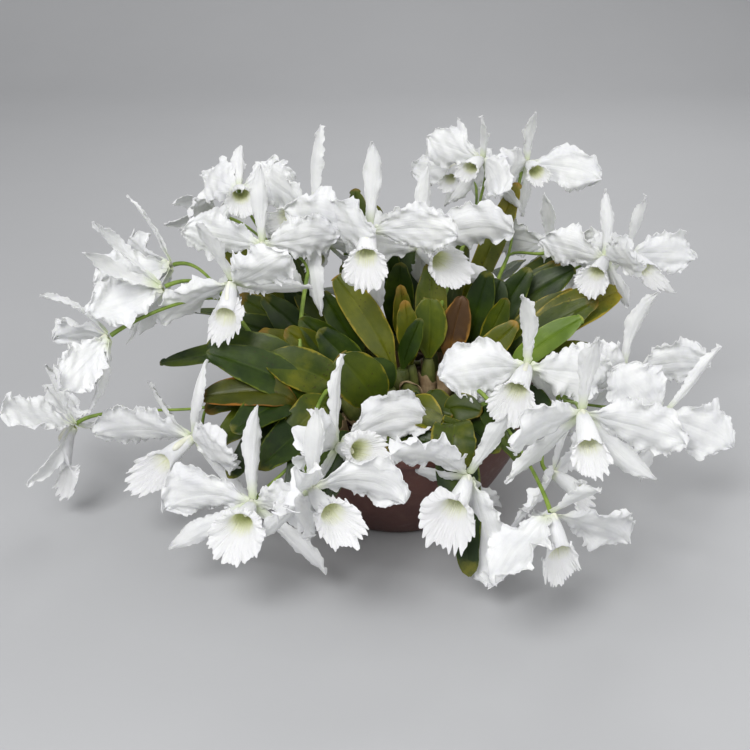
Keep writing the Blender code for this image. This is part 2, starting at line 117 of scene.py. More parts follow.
def through(points: Array, count: int) -> Array:
    """A smooth curve through points.

    Args:
        points: The points, one a row, in order.
        count: How many points the curve gets.

    Returns:
        The curve's points, evenly spread over the given ones.
    """
    ends = np.vstack([2 * points[0] - points[1], points, 2 * points[-1] - points[-2]])
    at = np.linspace(0, len(points) - 1, count)
    low = np.minimum(at.astype(int), len(points) - 2)
    t = (at - low)[:, None]
    a, b, c, d = (ends[low + k] for k in range(4))
    return 0.5 * (
        2 * b + (c - a) * t + (2 * a - 5 * b + 4 * c - d) * t**2 + (3 * b - a - 3 * c + d) * t**3
    )


def bezier(controls: tuple[Array, Array, Array, Array], count: int) -> Array:
    """Points along a cubic curve.

    Args:
        controls: The curve's two ends, with its two handles between them.
        count: How many points it gets.

    Returns:
        The points, one a row.
    """
    t = np.linspace(0, 1, count)[:, None]
    a, b, c, d = controls
    return a * (1 - t) ** 3 + 3 * b * t * (1 - t) ** 2 + 3 * c * t**2 * (1 - t) + d * t**3


def profile(table: tuple[tuple[float, float], ...], at: Array) -> Array:
    """A smooth outline read from a short table.

    Args:
        table: Rows of (share of the length, value).
        at: The shares to read it at.

    Returns:
        The value at each share.
    """
    shares, values = np.array(table).T
    fine = np.linspace(0, 1, 201)
    level = np.interp(fine, shares, values)
    window = np.hanning(15)
    padded = np.pad(level, 7, mode="reflect", reflect_type="odd")
    return np.interp(at, fine, np.convolve(padded, window / window.sum(), mode="valid"))


def waves(rng: np.random.Generator, x: Array, y: Array, octaves: int = 3) -> Array:
    """Soft irregular waves over two coordinates, about -1 to 1.

    Args:
        rng: Where the waves' directions and phases come from.
        x: First coordinate, in wavelengths.
        y: Second coordinate, in wavelengths.
        octaves: How many finer sets of waves are added.

    Returns:
        The height of the waves at each point.
    """
    total = np.zeros(np.broadcast(x, y).shape)
    for octave in range(octaves):
        for _ in range(3):
            turn, phase = rng.uniform(0, 2 * math.pi, 2)
            pitch = 2**octave * rng.uniform(0.7, 1.3)
            across = np.cos(turn) * x + np.sin(turn) * y
            total = total + np.sin(2 * math.pi * pitch * across + phase) / (3 * 1.8**octave)
    return total


@dataclass
class Shape:
    """The points, faces, map coordinates and finish numbers of one piece being built."""

    points: list[Array] = field(default_factory=list)
    faces: list[tuple[int, ...]] = field(default_factory=list)
    maps: list[Array] = field(default_factory=list)
    slots: list[int] = field(default_factory=list)
    count: int = 0

    def add(self, points: Array, maps: Array, faces: list[tuple[int, ...]], slot: int) -> None:
        """Adds points and the faces between them.

        Args:
            points: The points, one a row.
            maps: Their map coordinates.
            faces: The faces, which number these points from nought.
            slot: The number of their finish.
        """
        start = self.count
        self.points.append(points)
        self.maps.append(maps)
        self.faces += [tuple(start + i for i in face) for face in faces]
        self.slots += [slot] * len(faces)
        self.count += len(points)

    def add_blade(self, grid: Array, thickness: Array | float, slot: int = 0) -> None:
        """Adds a thin closed blade with this sheet of points down its middle.

        Args:
            grid: Points as (along, across, 3).
            thickness: The blade's thickness, one number or one for each point.
            slot: The number of its finish.
        """
        along, across = grid.shape[:2]
        normal = units(np.cross(np.gradient(grid, axis=0), np.gradient(grid, axis=1)))
        half = np.broadcast_to(np.asarray(thickness, float), (along, across))[..., None] / 2
        u, v = np.meshgrid(np.linspace(0, 1, across), np.linspace(0, 1, along))
        maps = np.stack([u, v], -1).reshape(-1, 2)
        count = along * across
        sides = [(grid + normal * half).reshape(-1, 3), (grid - normal * half).reshape(-1, 3)]
        index = np.arange(count).reshape(along, across)
        a, b, c, d = index[:-1, :-1], index[1:, :-1], index[1:, 1:], index[:-1, 1:]
        top = np.stack([a, b, c, d], -1).reshape(-1, 4)
        under = top[:, ::-1] + count
        edge = np.concatenate([index[:, 0], index[-1, 1:], index[-2::-1, -1], index[0, -2:0:-1]])
        after = np.roll(edge, -1)
        rim = np.stack([edge, edge + count, after + count, after], -1)
        faces = np.concatenate([top, under, rim])
        self.add(np.concatenate(sides), np.concatenate([maps, maps]), list(map(tuple, faces.tolist())), slot)

    def add_cup(self, grid: Array, thickness: float, slot: int = 0, inner: int | None = None) -> None:
        """Adds a thin wall closed round its second direction, open at both ends.

        Args:
            grid: Points as (along, around, 3).
            thickness: The wall's thickness.
            slot: The number of its finish.
            inner: The number of its inner side's finish, if that differs.
        """
        along, around = grid.shape[:2]
        turn = (np.roll(grid, -1, axis=1) - np.roll(grid, 1, axis=1)) / 2
        normal = units(np.cross(np.gradient(grid, axis=0), turn)) * thickness / 2
        share = np.abs(np.linspace(-1, 1, around, endpoint=False))
        u, v = np.meshgrid(share, np.linspace(0, 1, along))
        maps = np.stack([u, v], -1).reshape(-1, 2)
        count = along * around
        points = np.concatenate([(grid + normal).reshape(-1, 3), (grid - normal).reshape(-1, 3)])
        index = np.arange(count).reshape(along, around)
        right = np.roll(index, -1, axis=1)
        top = np.stack([index[:-1], index[1:], right[1:], right[:-1]], -1).reshape(-1, 4)
        first = np.stack([index[0] + count, index[0], right[0], right[0] + count], -1)
        last = np.stack([index[-1], index[-1] + count, right[-1] + count, right[-1]], -1)
        faces = np.concatenate([top, top[:, ::-1] + count, first, last])
        self.add(points, np.concatenate([maps, maps]), list(map(tuple, faces.tolist())), slot)
        if inner is not None:
            start = len(self.slots) - len(faces)
            self.slots[start : start + len(top)] = [inner] * len(top)

    def add_tube(self, path: Array, radii: Array, slot: int = 0, sides: int = 12, ribs: float = 0.0) -> None:
        """Adds a solid round stem along a path.

        Args:
            path: Its centre line, one point a row.
            radii: Its radius at each point.
            slot: The number of its finish.
            sides: How many faces it has round it.
            ribs: How deep its lengthwise ribs are, as a share of the radius.
        """
        ahead = units(np.gradient(path, axis=0))
        side = unit(np.cross(ahead[0], [0.3, 0.9, 0.31]))
        rings = []
        angles = np.linspace(0, 2 * math.pi, sides, endpoint=False)
        swell = 1 + ribs * np.cos(angles * sides / 3)
        for centre, way, radius in zip(path, ahead, radii):
            side = unit(side - way * (side @ way))
            other = np.cross(way, side)
            spokes = np.outer(np.cos(angles), side) + np.outer(np.sin(angles), other)
            rings.append(centre + spokes * (radius * swell)[:, None])
        grid = np.array(rings)
        count = len(path)
        index = np.arange(count * sides).reshape(count, sides)
        right = np.roll(index, -1, axis=1)
        faces = np.stack([index[:-1], right[:-1], right[1:], index[1:]], -1).reshape(-1, 4).tolist()
        faces = list(map(tuple, faces)) + [tuple(index[0, ::-1].tolist()), tuple(index[-1].tolist())]
        u, v = np.meshgrid(np.abs(np.linspace(-1, 1, sides, endpoint=False)), np.linspace(0, 1, count))
        self.add(grid.reshape(-1, 3), np.stack([u, v], -1).reshape(-1, 2), faces, slot)

    def build(self, name: str, finishes: list[bpy.types.Material], crease: float = 60.0) -> bpy.types.Object:
        """Makes the piece's object.

        Args:
            name: The piece's name.
            finishes: Its materials, in the order of the finish numbers.
            crease: The angle between faces, in degrees, past which an edge is sharp.

        Returns:
            The object, linked to the scene.
        """
        mesh = bpy.data.meshes.new(name)
        mesh.from_pydata(np.concatenate(self.points), [], self.faces)
        corners = np.empty(len(mesh.loops), np.int32)
        mesh.loops.foreach_get("vertex_index", corners)
        layer = mesh.uv_layers.new(name="Along")
        layer.uv.foreach_set("vector", np.concatenate(self.maps)[corners].astype(np.float32).ravel())
        mesh.polygons.foreach_set("material_index", np.array(self.slots, np.int32))
        for finish in finishes:
            mesh.materials.append(finish)
        mesh.shade_smooth()
        mesh.set_sharp_from_angle(angle=math.radians(crease))
        thing = bpy.data.objects.new(name, mesh)
        bpy.context.scene.collection.objects.link(thing)
        return thing


# ---------------------------------------------------------------- finishes


class Board:
    """One procedural material while its nodes are being laid out."""

    def __init__(self, name: str) -> None:
        """Starts a material with its Principled shader.

        Args:
            name: The material's name.
        """
        self.material = bpy.data.materials.new(name)
        self.material.use_nodes = True
        self.tree = self.material.node_tree
        self.shader = self.tree.nodes["Principled BSDF"]
        place = self.tree.nodes.new("ShaderNodeTexCoord")
        self.object_place = place.outputs["Object"]
        self.map_place = place.outputs["UV"]
        parts = self.tree.nodes.new("ShaderNodeSeparateXYZ")
        self.tree.links.new(self.map_place, parts.inputs[0])
        self.across = parts.outputs["X"]
        self.along = parts.outputs["Y"]

    def set(self, **values: float | tuple[float, ...]) -> None:
        """Sets the shader's own sockets, named with _ for a space."""
        for name, value in values.items():
            self.shader.inputs[name.replace("_", " ")].default_value = value

    def feed(self, socket: bpy.types.NodeSocket, value: object) -> None:
        """Links a socket to another, or gives it a plain value.

        Args:
            socket: The socket that is fed.
            value: A socket, or the value itself.
        """
        if isinstance(value, bpy.types.NodeSocket):
            self.tree.links.new(value, socket)
        else:
            socket.default_value = value

    def noise(self, scale: float, detail: float = 3.0, place: object = None, rough: float = 0.55) -> Socket:
        """Smooth noise over the surface.

        Args:
            scale: How many waves it has to the metre.
            detail: How many finer sets of waves it has.
            place: The coordinates that it is laid over, the object's own unless given.
            rough: How strong the finer waves are.

        Returns:
            The noise, 0 to 1.
        """
        node = self.tree.nodes.new("ShaderNodeTexNoise")
        node.inputs["Scale"].default_value = scale
        node.inputs["Detail"].default_value = detail
        node.inputs["Roughness"].default_value = rough
        self.feed(node.inputs["Vector"], place or self.object_place)
        return node.outputs["Fac"]

    def cells(self, scale: float, place: object = None) -> Socket:
        """A pattern of many scattered points.

        Args:
            scale: How many points it has to the metre.
            place: The coordinates that it is laid over, the object's own unless given.

        Returns:
            The distance to the nearest point.
        """
        node = self.tree.nodes.new("ShaderNodeTexVoronoi")
        node.inputs["Scale"].default_value = scale
        self.feed(node.inputs["Vector"], place or self.object_place)
        return node.outputs["Distance"]

    def stretched(self, across: float, along: float) -> Socket:
        """Coordinates over which a pattern runs along the blade.

        Args:
            across: How many waves there are across the blade.
            along: How many there are along it.

        Returns:
            The scaled coordinates.
        """
        node = self.tree.nodes.new("ShaderNodeMapping")
        node.inputs["Scale"].default_value = (across, along, 1.0)
        self.tree.links.new(self.map_place, node.inputs["Vector"])
        return node.outputs["Vector"]

    def ramp(self, value: object, stops: list[tuple[float, Colour]]) -> Socket:
        """Colours along a value.

        Args:
            value: What chooses the colour.
            stops: Rows of (value, colour).

        Returns:
            The colour.
        """
        node = self.tree.nodes.new("ShaderNodeValToRGB")
        points = node.color_ramp.elements
        while len(points) < len(stops):
            points.new(1.0)
        for point, (at, colour) in zip(points, stops):
            point.position = at
            point.color = (*colour, 1.0)
        self.feed(node.inputs["Fac"], value)
        return node.outputs["Color"]

    def range(self, value: object, low: float, high: float, to_low: float, to_high: float) -> Socket:
        """A value moved from one range to another, and held inside it.

        Args:
            value: The value.
            low: Where its own range starts.
            high: Where its own range ends.
            to_low: Where the new range starts.
            to_high: Where the new range ends.

        Returns:
            The moved value.
        """
        node = self.tree.nodes.new("ShaderNodeMapRange")
        self.feed(node.inputs["Value"], value)
        ends = {"From Min": low, "From Max": high, "To Min": to_low, "To Max": to_high}
        for name, number in ends.items():
            node.inputs[name].default_value = number
        return node.outputs["Result"]

    def math(self, kind: str, first: object, second: object = 0.5) -> Socket:
        """One sum of two values.

        Args:
            kind: Which sum, such as ADD or MULTIPLY.
            first: Its first value.
            second: Its second value.

        Returns:
            The outcome.
        """
        node = self.tree.nodes.new("ShaderNodeMath")
        node.operation = kind
        self.feed(node.inputs[0], first)
        self.feed(node.inputs[1], second)
        return node.outputs[0]

    def mix(self, share: object, first: object, second: object, kind: str = "MIX") -> Socket:
        """Two colours mixed by a share.

        Args:
            share: How much of the second colour shows.
            first: The first colour.
            second: The second colour.
            kind: How they are mixed.

        Returns:
            The mixed colour.
        """
        node = self.tree.nodes.new("ShaderNodeMix")
        node.data_type = "RGBA"
        node.blend_type = kind
        self.feed(node.inputs["Factor"], share)
        for name, value in (("A", first), ("B", second)):
            colours = [s for s in node.inputs if s.name == name and s.type == "RGBA"]
            plain = isinstance(value, tuple) and len(value) == 3
            self.feed(colours[0], (*value, 1.0) if plain else value)
        return [s for s in node.outputs if s.type == "RGBA"][0]

    def bump(self, height: object, distance: float, strength: float = 1.0, under: object = None) -> Socket:
        """A bump over the surface.

        Args:
            height: The pattern that raises it.
            distance: How high it is, in metres.
            strength: How much of it shows.
            under: Another bump that it lies on.

        Returns:
            The bumped normal.
        """
        node = self.tree.nodes.new("ShaderNodeBump")
        node.inputs["Distance"].default_value = distance
        node.inputs["Strength"].default_value = strength
        self.feed(node.inputs["Height"], height)
        if under is not None:
            self.tree.links.new(under, node.inputs["Normal"])
        return node.outputs["Normal"]

    def done(self, colour: object, roughness: object, normal: object) -> bpy.types.Material:
        """Links what was laid out to the shader.

        Args:
            colour: The base colour.
            roughness: The roughness.
            normal: The bumped normal.

        Returns:
            The finished material.
        """
        self.feed(self.shader.inputs["Base Color"], colour)
        self.feed(self.shader.inputs["Roughness"], roughness)
        self.tree.links.new(normal, self.shader.inputs["Normal"])
        return self.material


@dataclass(frozen=True)
class PetalFinish:
    """White flower tissue: fine crystals that glitter, faint veins, light that passes through."""

    name: str
    foot: Colour = (0.72, 0.78, 0.52)
    shade: Colour = (0.76, 0.77, 0.78)
    white: Colour = (0.90, 0.91, 0.89)
    foot_end: float = 0.16

    def make(self) -> bpy.types.Material:
        """Lays the material out.

        Returns:
            The material.
        """
        board = Board(self.name)
        veins = board.noise(1.0, 2.0, board.stretched(26.0, 2.4), 0.6)
        clouds = board.noise(34.0, 3.0)
        body = board.mix(board.range(clouds, 0.35, 0.7, 0.0, 1.0), self.shade, self.white)
        body = board.mix(board.range(veins, 0.3, 0.5, 0.35, 0.0), body, self.shade)
        colour = board.mix(board.range(board.along, 0.0, self.foot_end, 0.75, 0.0), body, self.foot)
        crystals = board.cells(1500.0)
        grain = board.bump(crystals, 0.00025, 0.5)
        normal = board.bump(veins, 0.0014, 0.6, grain)
        normal = board.bump(board.noise(170.0, 3.0), 0.0006, 0.5, normal)
        board.set(Subsurface_Weight=0.35, Subsurface_Radius=(0.9, 0.95, 0.8), Subsurface_Scale=0.003)
        board.set(Sheen_Weight=0.15, Sheen_Roughness=0.4, Specular_IOR_Level=0.35)
        return board.done(colour, board.range(crystals, 0.0, 0.8, 0.42, 0.62), normal)


@dataclass(frozen=True)
class LipFinish:
    """The lip: white and frilled, with a pale yellow-green throat and fine raised veins."""

    name: str
    deep: Colour = (0.66, 0.71, 0.34)
    throat: Colour = (0.80, 0.83, 0.55)
    white: Colour = (0.88, 0.89, 0.87)

    def make(self) -> bpy.types.Material:
        """Lays the material out.

        Returns:
            The material.
        """
        board = Board(self.name)
        veins = board.noise(1.0, 2.0, board.stretched(30.0, 3.0), 0.5)
        depth = board.math("ADD", board.along, board.range(veins, 0.3, 0.7, -0.05, 0.05))
        low = board.math("MULTIPLY", board.across, 0.06)
        depth = board.math("SUBTRACT", depth, low)
        stops = [(0.0, self.deep), (0.30, self.deep), (0.50, self.throat), (0.66, self.white)]
        stops.append((1.0, self.white))
        colour = board.ramp(depth, stops)
        grain = board.bump(board.cells(1400.0), 0.00025, 0.5)
        normal = board.bump(veins, 0.0026, 0.75, grain)
        normal = board.bump(board.noise(190.0, 3.0), 0.0012, 0.6, normal)
        board.set(Subsurface_Weight=0.6, Subsurface_Radius=(0.9, 0.95, 0.8), Subsurface_Scale=0.006)
        board.set(Sheen_Weight=0.15, Sheen_Roughness=0.4, Specular_IOR_Level=0.35)
        return board.done(colour, 0.5, normal)


@dataclass(frozen=True)
class LeafFinish:
    """A thick strap leaf: satin green, with a paler edge that yellows, fine lengthwise lines,
    small dark spots and a scorched tip."""

    name: str
    dark: Colour
    light: Colour
    edge: Colour
    edge_share: float
    tip: Colour
    tip_start: float
    spots: float
    freckle: Colour = (0.035, 0.02, 0.008)

    def make(self) -> bpy.types.Material:
        """Lays the material out.

        Returns:
            The material.
        """
        board = Board(self.name)
        patches = board.noise(26.0, 4.0)
        colour = board.mix(board.range(patches, 0.35, 0.68, 0.0, 1.0), self.dark, self.light)
        lines = board.noise(1.0, 3.0, board.stretched(60.0, 1.6), 0.7)
        colour = board.mix(board.range(lines, 0.35, 0.65, 0.4, 0.0), colour, self.dark)
        middle = board.math("ABSOLUTE", board.math("SUBTRACT", board.across, 0.5), 0.0)
        rib = board.range(middle, 0.0, 0.035, 0.55, 0.0)
        colour = board.mix(rib, colour, self.light)
        wander = board.range(board.noise(60.0, 3.0), 0.3, 0.7, -0.05, 0.05)
        from_edge = board.math("ADD", middle, wander)
        rim = board.range(from_edge, 0.5 - self.edge_share, 0.5, 0.0, 1.0)
        colour = board.mix(rim, colour, self.edge)
        blotch = board.range(board.noise(13.0, 5.0), 0.54, 0.72, 0.0, 0.50)
        colour = board.mix(blotch, colour, self.edge)
        shade = board.range(board.noise(21.0, 4.0), 0.46, 0.64, 0.0, 0.70)
        colour = board.mix(shade, colour, self.dark)
        end = board.math("ADD", board.along, wander)
        colour = board.mix(board.range(end, self.tip_start, 1.0, 0.0, 1.0), colour, self.tip)
        spot = board.cells(170.0)
        spotted = board.range(spot, 0.10, 0.22, self.spots, 0.0)
        where = board.range(board.noise(18.0, 2.0), 0.48, 0.62, 0.0, 1.0)
        colour = board.mix(board.math("MULTIPLY", spotted, where), colour, self.freckle)
        normal = board.bump(board.noise(420.0, 2.0), 0.00016, 0.5)
        normal = board.bump(lines, 0.0005, 0.5, normal)
        normal = board.bump(board.noise(50.0, 3.0), 0.0016, 0.35, normal)
        board.set(Specular_IOR_Level=0.30, Coat_Weight=0.05, Coat_Roughness=0.25)
        return board.done(colour, board.range(patches, 0.3, 0.7, 0.48, 0.34), normal)


class LeafTone(Enum):
    """The kinds of leaf in the clump."""

    DARK = LeafFinish(
        "leaf_dark", (0.009, 0.024, 0.001), (0.044, 0.078, 0.003),
        edge=(0.10, 0.13, 0.006), edge_share=0.03,
        tip=(0.12, 0.12, 0.01), tip_start=0.94, spots=0.6,
    )
    OLIVE = LeafFinish(
        "leaf_olive", (0.028, 0.048, 0.001), (0.092, 0.118, 0.004),
        edge=(0.22, 0.19, 0.01), edge_share=0.035,
        tip=(0.20, 0.12, 0.01), tip_start=0.92, spots=0.8,
    )
    GOLD = LeafFinish(
        "leaf_gold", (0.062, 0.080, 0.002), (0.165, 0.172, 0.006),
        edge=(0.34, 0.26, 0.02), edge_share=0.045,
        tip=(0.32, 0.18, 0.02), tip_start=0.88, spots=0.9,
    )
    PALE = LeafFinish(
        "leaf_pale", (0.10, 0.17, 0.015), (0.18, 0.28, 0.03),
        edge=(0.26, 0.34, 0.05), edge_share=0.04,
        tip=(0.30, 0.34, 0.06), tip_start=0.95, spots=0.2,
    )
    SPOTTED = LeafFinish(
        "leaf_spotted", (0.050, 0.075, 0.003), (0.125, 0.155, 0.007),
        edge=(0.22, 0.20, 0.02), edge_share=0.04,
        tip=(0.16, 0.11, 0.02), tip_start=0.90, spots=1.0,
    )
    SCORCHED = LeafFinish(
        "leaf_scorched", (0.034, 0.044, 0.003), (0.085, 0.090, 0.006),
        edge=(0.30, 0.12, 0.015), edge_share=0.06,
        tip=(0.28, 0.09, 0.01), tip_start=0.82, spots=0.9,
    )
    DRY = LeafFinish(
        "leaf_dry", (0.060, 0.028, 0.008), (0.13, 0.062, 0.015),
        edge=(0.38, 0.19, 0.03), edge_share=0.07,
        tip=(0.10, 0.05, 0.02), tip_start=0.84, spots=0.9,
    )


@dataclass(frozen=True)
class StemFinish:
    """Fresh or drying stem tissue, streaked along its length."""

    name: str
    dark: Colour
    light: Colour
    roughness: float = 0.42
    relief: float = 0.0008

    def make(self) -> bpy.types.Material:
        """Lays the material out.

        Returns:
            The material.
        """
        board = Board(self.name)
        streaks = board.noise(1.0, 4.0, board.stretched(24.0, 3.0), 0.65)
        patches = board.noise(60.0, 3.0)
        colour = board.mix(board.range(patches, 0.32, 0.68, 0.0, 1.0), self.dark, self.light)
        colour = board.mix(board.range(streaks, 0.3, 0.6, 0.5, 0.0), colour, self.dark)
        normal = board.bump(streaks, self.relief, 0.6)
        normal = board.bump(board.noise(500.0, 2.0), 0.0002, 0.5, normal)
        gloss = board.range(patches, 0.3, 0.7, self.roughness - 0.06, self.roughness + 0.1)
        return board.done(colour, gloss, normal)


@dataclass(frozen=True)
class BarkFinish:
    """Chips of fir bark and charcoal: rough, brown to grey, each chip its own tone, with painted shade
    darkening the hollows of the grain.
    """

    name: str = "bark_mix"
    charcoal: Colour = (0.018, 0.012, 0.009)
    damp_and_low_shade: Colour = (0.070, 0.036, 0.020)
    fresh: Colour = (0.13, 0.075, 0.040)
    weathered: Colour = (0.20, 0.15, 0.10)
    # the colour of the painted shade in the grain's hollows
    crevice_shade: Colour = (0.02, 0.012, 0.008)

    def make(self) -> bpy.types.Material:
        """Lays the material out.

        Returns:
            The material.
        """
        board = Board(self.name)
        chips = board.noise(55.0, 1.0)
        grain = board.noise(260.0, 5.0, rough=0.7)
        stops = [(0.30, self.charcoal), (0.45, self.damp_and_low_shade), (0.58, self.fresh), (0.72, self.weathered)]
        # painted shade: where the grain's bump sinks, the colour darkens towards the hollows' shade colour
        dark = board.range(grain, 0.35, 0.65, 0.55, 0.0)
        colour = board.mix(dark, board.ramp(chips, stops), self.crevice_shade)
        normal = board.bump(grain, 0.003, 0.9)
        return board.done(colour, board.range(grain, 0.3, 0.7, 0.95, 0.75), normal)


@dataclass(frozen=True)
class PotFinish:
    """Moulded reddish-brown plastic with dust and faint turning lines, with painted shade that darkens the
    wall towards the bottom.
    """

    name: str = "pot_plastic_worn"
    deep: Colour = (0.085, 0.026, 0.020)
    faded: Colour = (0.125, 0.042, 0.030)
    # the colour of the painted shade on the lower wall
    damp_and_low_shade: Colour = (0.040, 0.014, 0.012)
    dust: Colour = (0.24, 0.17, 0.13)

    def make(self) -> bpy.types.Material:
        """Lays the material out.

        Returns:
            The material.
        """
        board = Board(self.name)
        parts = board.tree.nodes.new("ShaderNodeSeparateXYZ")
        board.tree.links.new(board.object_place, parts.inputs[0])
        height = parts.outputs["Z"]
        clouds = board.range(board.noise(14.0, 4.0), 0.35, 0.7, 0.0, 1.0)
        body = board.mix(clouds, self.deep, self.faded)
        # painted shade: the wall darkens over its lowest 10 cm, towards the bottom
        low = board.range(height, 0.0, 0.10, 0.55, 0.0)
        body = board.mix(low, body, self.damp_and_low_shade)
        dusty = board.range(board.noise(90.0, 6.0, rough=0.7), 0.5, 0.75, 0.0, 0.30)
        body = board.mix(dusty, body, self.dust)
        scratches = board.noise(700.0, 2.0)
        normal = board.bump(scratches, 0.00012, 0.4)
        normal = board.bump(board.noise(30.0, 2.0), 0.0008, 0.25, normal)
        gloss = board.range(board.noise(90.0, 6.0, rough=0.7), 0.3, 0.7, 0.34, 0.6)
        return board.done(body, gloss, normal)


class Finishes:
    """Every finish of the plant and its pot, each made once."""

    def __init__(self) -> None:
        """Makes the materials."""
        self.petal = PetalFinish("petal_white").make()
        sepal = PetalFinish("sepal_white", foot=(0.60, 0.70, 0.36), shade=(0.79, 0.80, 0.80), foot_end=0.22)
        self.sepal = sepal.make()
        self.lip = LipFinish("lip_white").make()
        self.column = StemFinish("column_cream", (0.78, 0.78, 0.62), (0.90, 0.90, 0.84), 0.45, 0.0003).make()
        self.leaves = {tone: tone.value.make() for tone in LeafTone}
        self.stalk = StemFinish("stalk_green", (0.13, 0.21, 0.025), (0.30, 0.42, 0.06)).make()
        self.bulb = StemFinish("bulb_green", (0.055, 0.075, 0.014), (0.16, 0.17, 0.035), 0.45, 0.002).make()
        self.husk = StemFinish("husk_tan", (0.22, 0.14, 0.07), (0.50, 0.38, 0.22), 0.75, 0.002).make()
        self.root = StemFinish("root_grey", (0.20, 0.16, 0.11), (0.42, 0.38, 0.30), 0.8, 0.001).make()
        self.bark = BarkFinish().make()
        self.pot = PotFinish().make()


# ---------------------------------------------------------------- the flowers


class Part(Enum):
    """The five free lobes of a flower, left and right as a viewer sees them."""

    DORSAL = "dorsal"
    RIGHT_PETAL = "right_petal"
    LEFT_PETAL = "left_petal"
    RIGHT_SEPAL = "right_sepal"
    LEFT_SEPAL = "left_sepal"


SEPAL_OUTLINE = (
    (0.0, 0.40), (0.12, 0.44), (0.30, 0.60), (0.46, 0.86), (0.58, 1.0),
    (0.70, 0.92), (0.82, 0.62), (0.93, 0.30), (1.0, 0.06),
)
PETAL_OUTLINE = (
    (0.0, 0.13), (0.08, 0.22), (0.22, 0.56), (0.38, 0.86), (0.54, 1.0),
    (0.68, 0.98), (0.80, 0.82), (0.90, 0.55), (0.965, 0.28), (1.0, 0.08),
)


@dataclass
class Lobe:
    """One sepal or petal, as it grows from the flower's heart.

    Angles are in degrees. Bearing is the way that it points in the flower's plane, from the
    viewer's right; rise is its angle out of that plane, at its foot and at its tip; swing is how
    far its tip bends round in the plane, and sway an S-bend; twist turns it about its own line;
    roll is how far its edges curl back. Crease is the depth of its middle line, in metres.
    """

    bearing: float
    length: float
    width: float
    rise: tuple[float, float]
    swing: float = 0.0
    sway: float = 0.0
    twist: tuple[float, float] = (0.0, 0.0)
    roll: float = 60.0
    ruffle: float = 0.001
    droop: float = 0.0
    crease: float = 0.0011
    broad: bool = False

    def sheet(self, rng: np.random.Generator) -> Array:
        """The lobe's middle sheet in the flower's own axes.

        Args:
            rng: Where its ruffles come from.

        Returns:
            Points as (along, across, 3).
        """
        steps, strips = PETAL_GRID if self.broad else SEPAL_GRID
        u = np.linspace(0, 1, steps)
        bearing = np.radians(self.bearing + self.swing * u**1.6 + self.sway * np.sin(2 * math.pi * u) * u)
        rise = np.radians(self.rise[0] + (self.rise[1] - self.rise[0]) * u)
        ahead = np.stack([np.cos(bearing) * np.cos(rise), np.sin(bearing) * np.cos(rise), np.sin(rise)], -1)
        front = np.stack([-np.cos(bearing) * np.sin(rise), -np.sin(bearing) * np.sin(rise), np.cos(rise)], -1)
        side = np.cross(front, ahead)
        turn = np.radians(self.twist[0] + (self.twist[1] - self.twist[0]) * u)[:, None]
        side, front = side * np.cos(turn) + front * np.sin(turn), front * np.cos(turn) - side * np.sin(turn)
        line = np.cumsum(ahead, axis=0) * self.length / steps
        line += ahead[0] * 0.002
        half = profile(PETAL_OUTLINE if self.broad else SEPAL_OUTLINE, u) * self.width / 2
        w = np.linspace(-1, 1, strips)
        lobes = waves(rng, u * 3.2, u * 0, 2)[:, None] * (w > 0)
        lobes = lobes + waves(rng, u * 3.2, u * 0, 2)[:, None] * (w <= 0)
        curl = math.radians(self.roll)
        out = np.outer(half, np.sin(curl * w) / curl if abs(curl) > 1e-3 else w)
        out = out * (1 + self.ruffle * 34 * lobes * np.abs(w)[None] ** 2)
        back = -np.outer(half, (1 - np.cos(curl * w)) / curl if abs(curl) > 1e-3 else 0 * w)
        uu, ww = np.meshgrid(u, w, indexing="ij")
        margin = np.abs(ww) ** 2.7 * np.minimum(1, uu * 3) + 0.25 * np.clip(uu - 0.75, 0, 1) * 4
        sway = waves(rng, uu * self.length / 0.036 + 0.3 * ww, ww * 0.9, 2)
        frill = np.tanh(2.2 * waves(rng, uu * self.length / 0.009 + 0.3 * ww, ww * 1.1, 2))
        edge = np.abs(ww) ** 4 * np.minimum(1, uu * 2.5) + 0.5 * np.clip(uu - 0.86, 0, 1) * 7
        lift = self.ruffle * (margin * 1.8 * sway + 0.62 * edge * frill + 0.2 * sway)
        notch = self.ruffle * 0.6 * np.abs(ww) ** 3 * waves(rng, uu * self.length / 0.010, ww, 3)
        crease = -self.crease * np.exp(-((ww / 0.10) ** 2)) * np.sin(math.pi * np.clip(uu * 1.05, 0, 1))
        return (
            line[:, None]
            + side[:, None] * (out + notch * np.sign(ww))[..., None]
            + front[:, None] * (back + lift + crease)[..., None]
        )


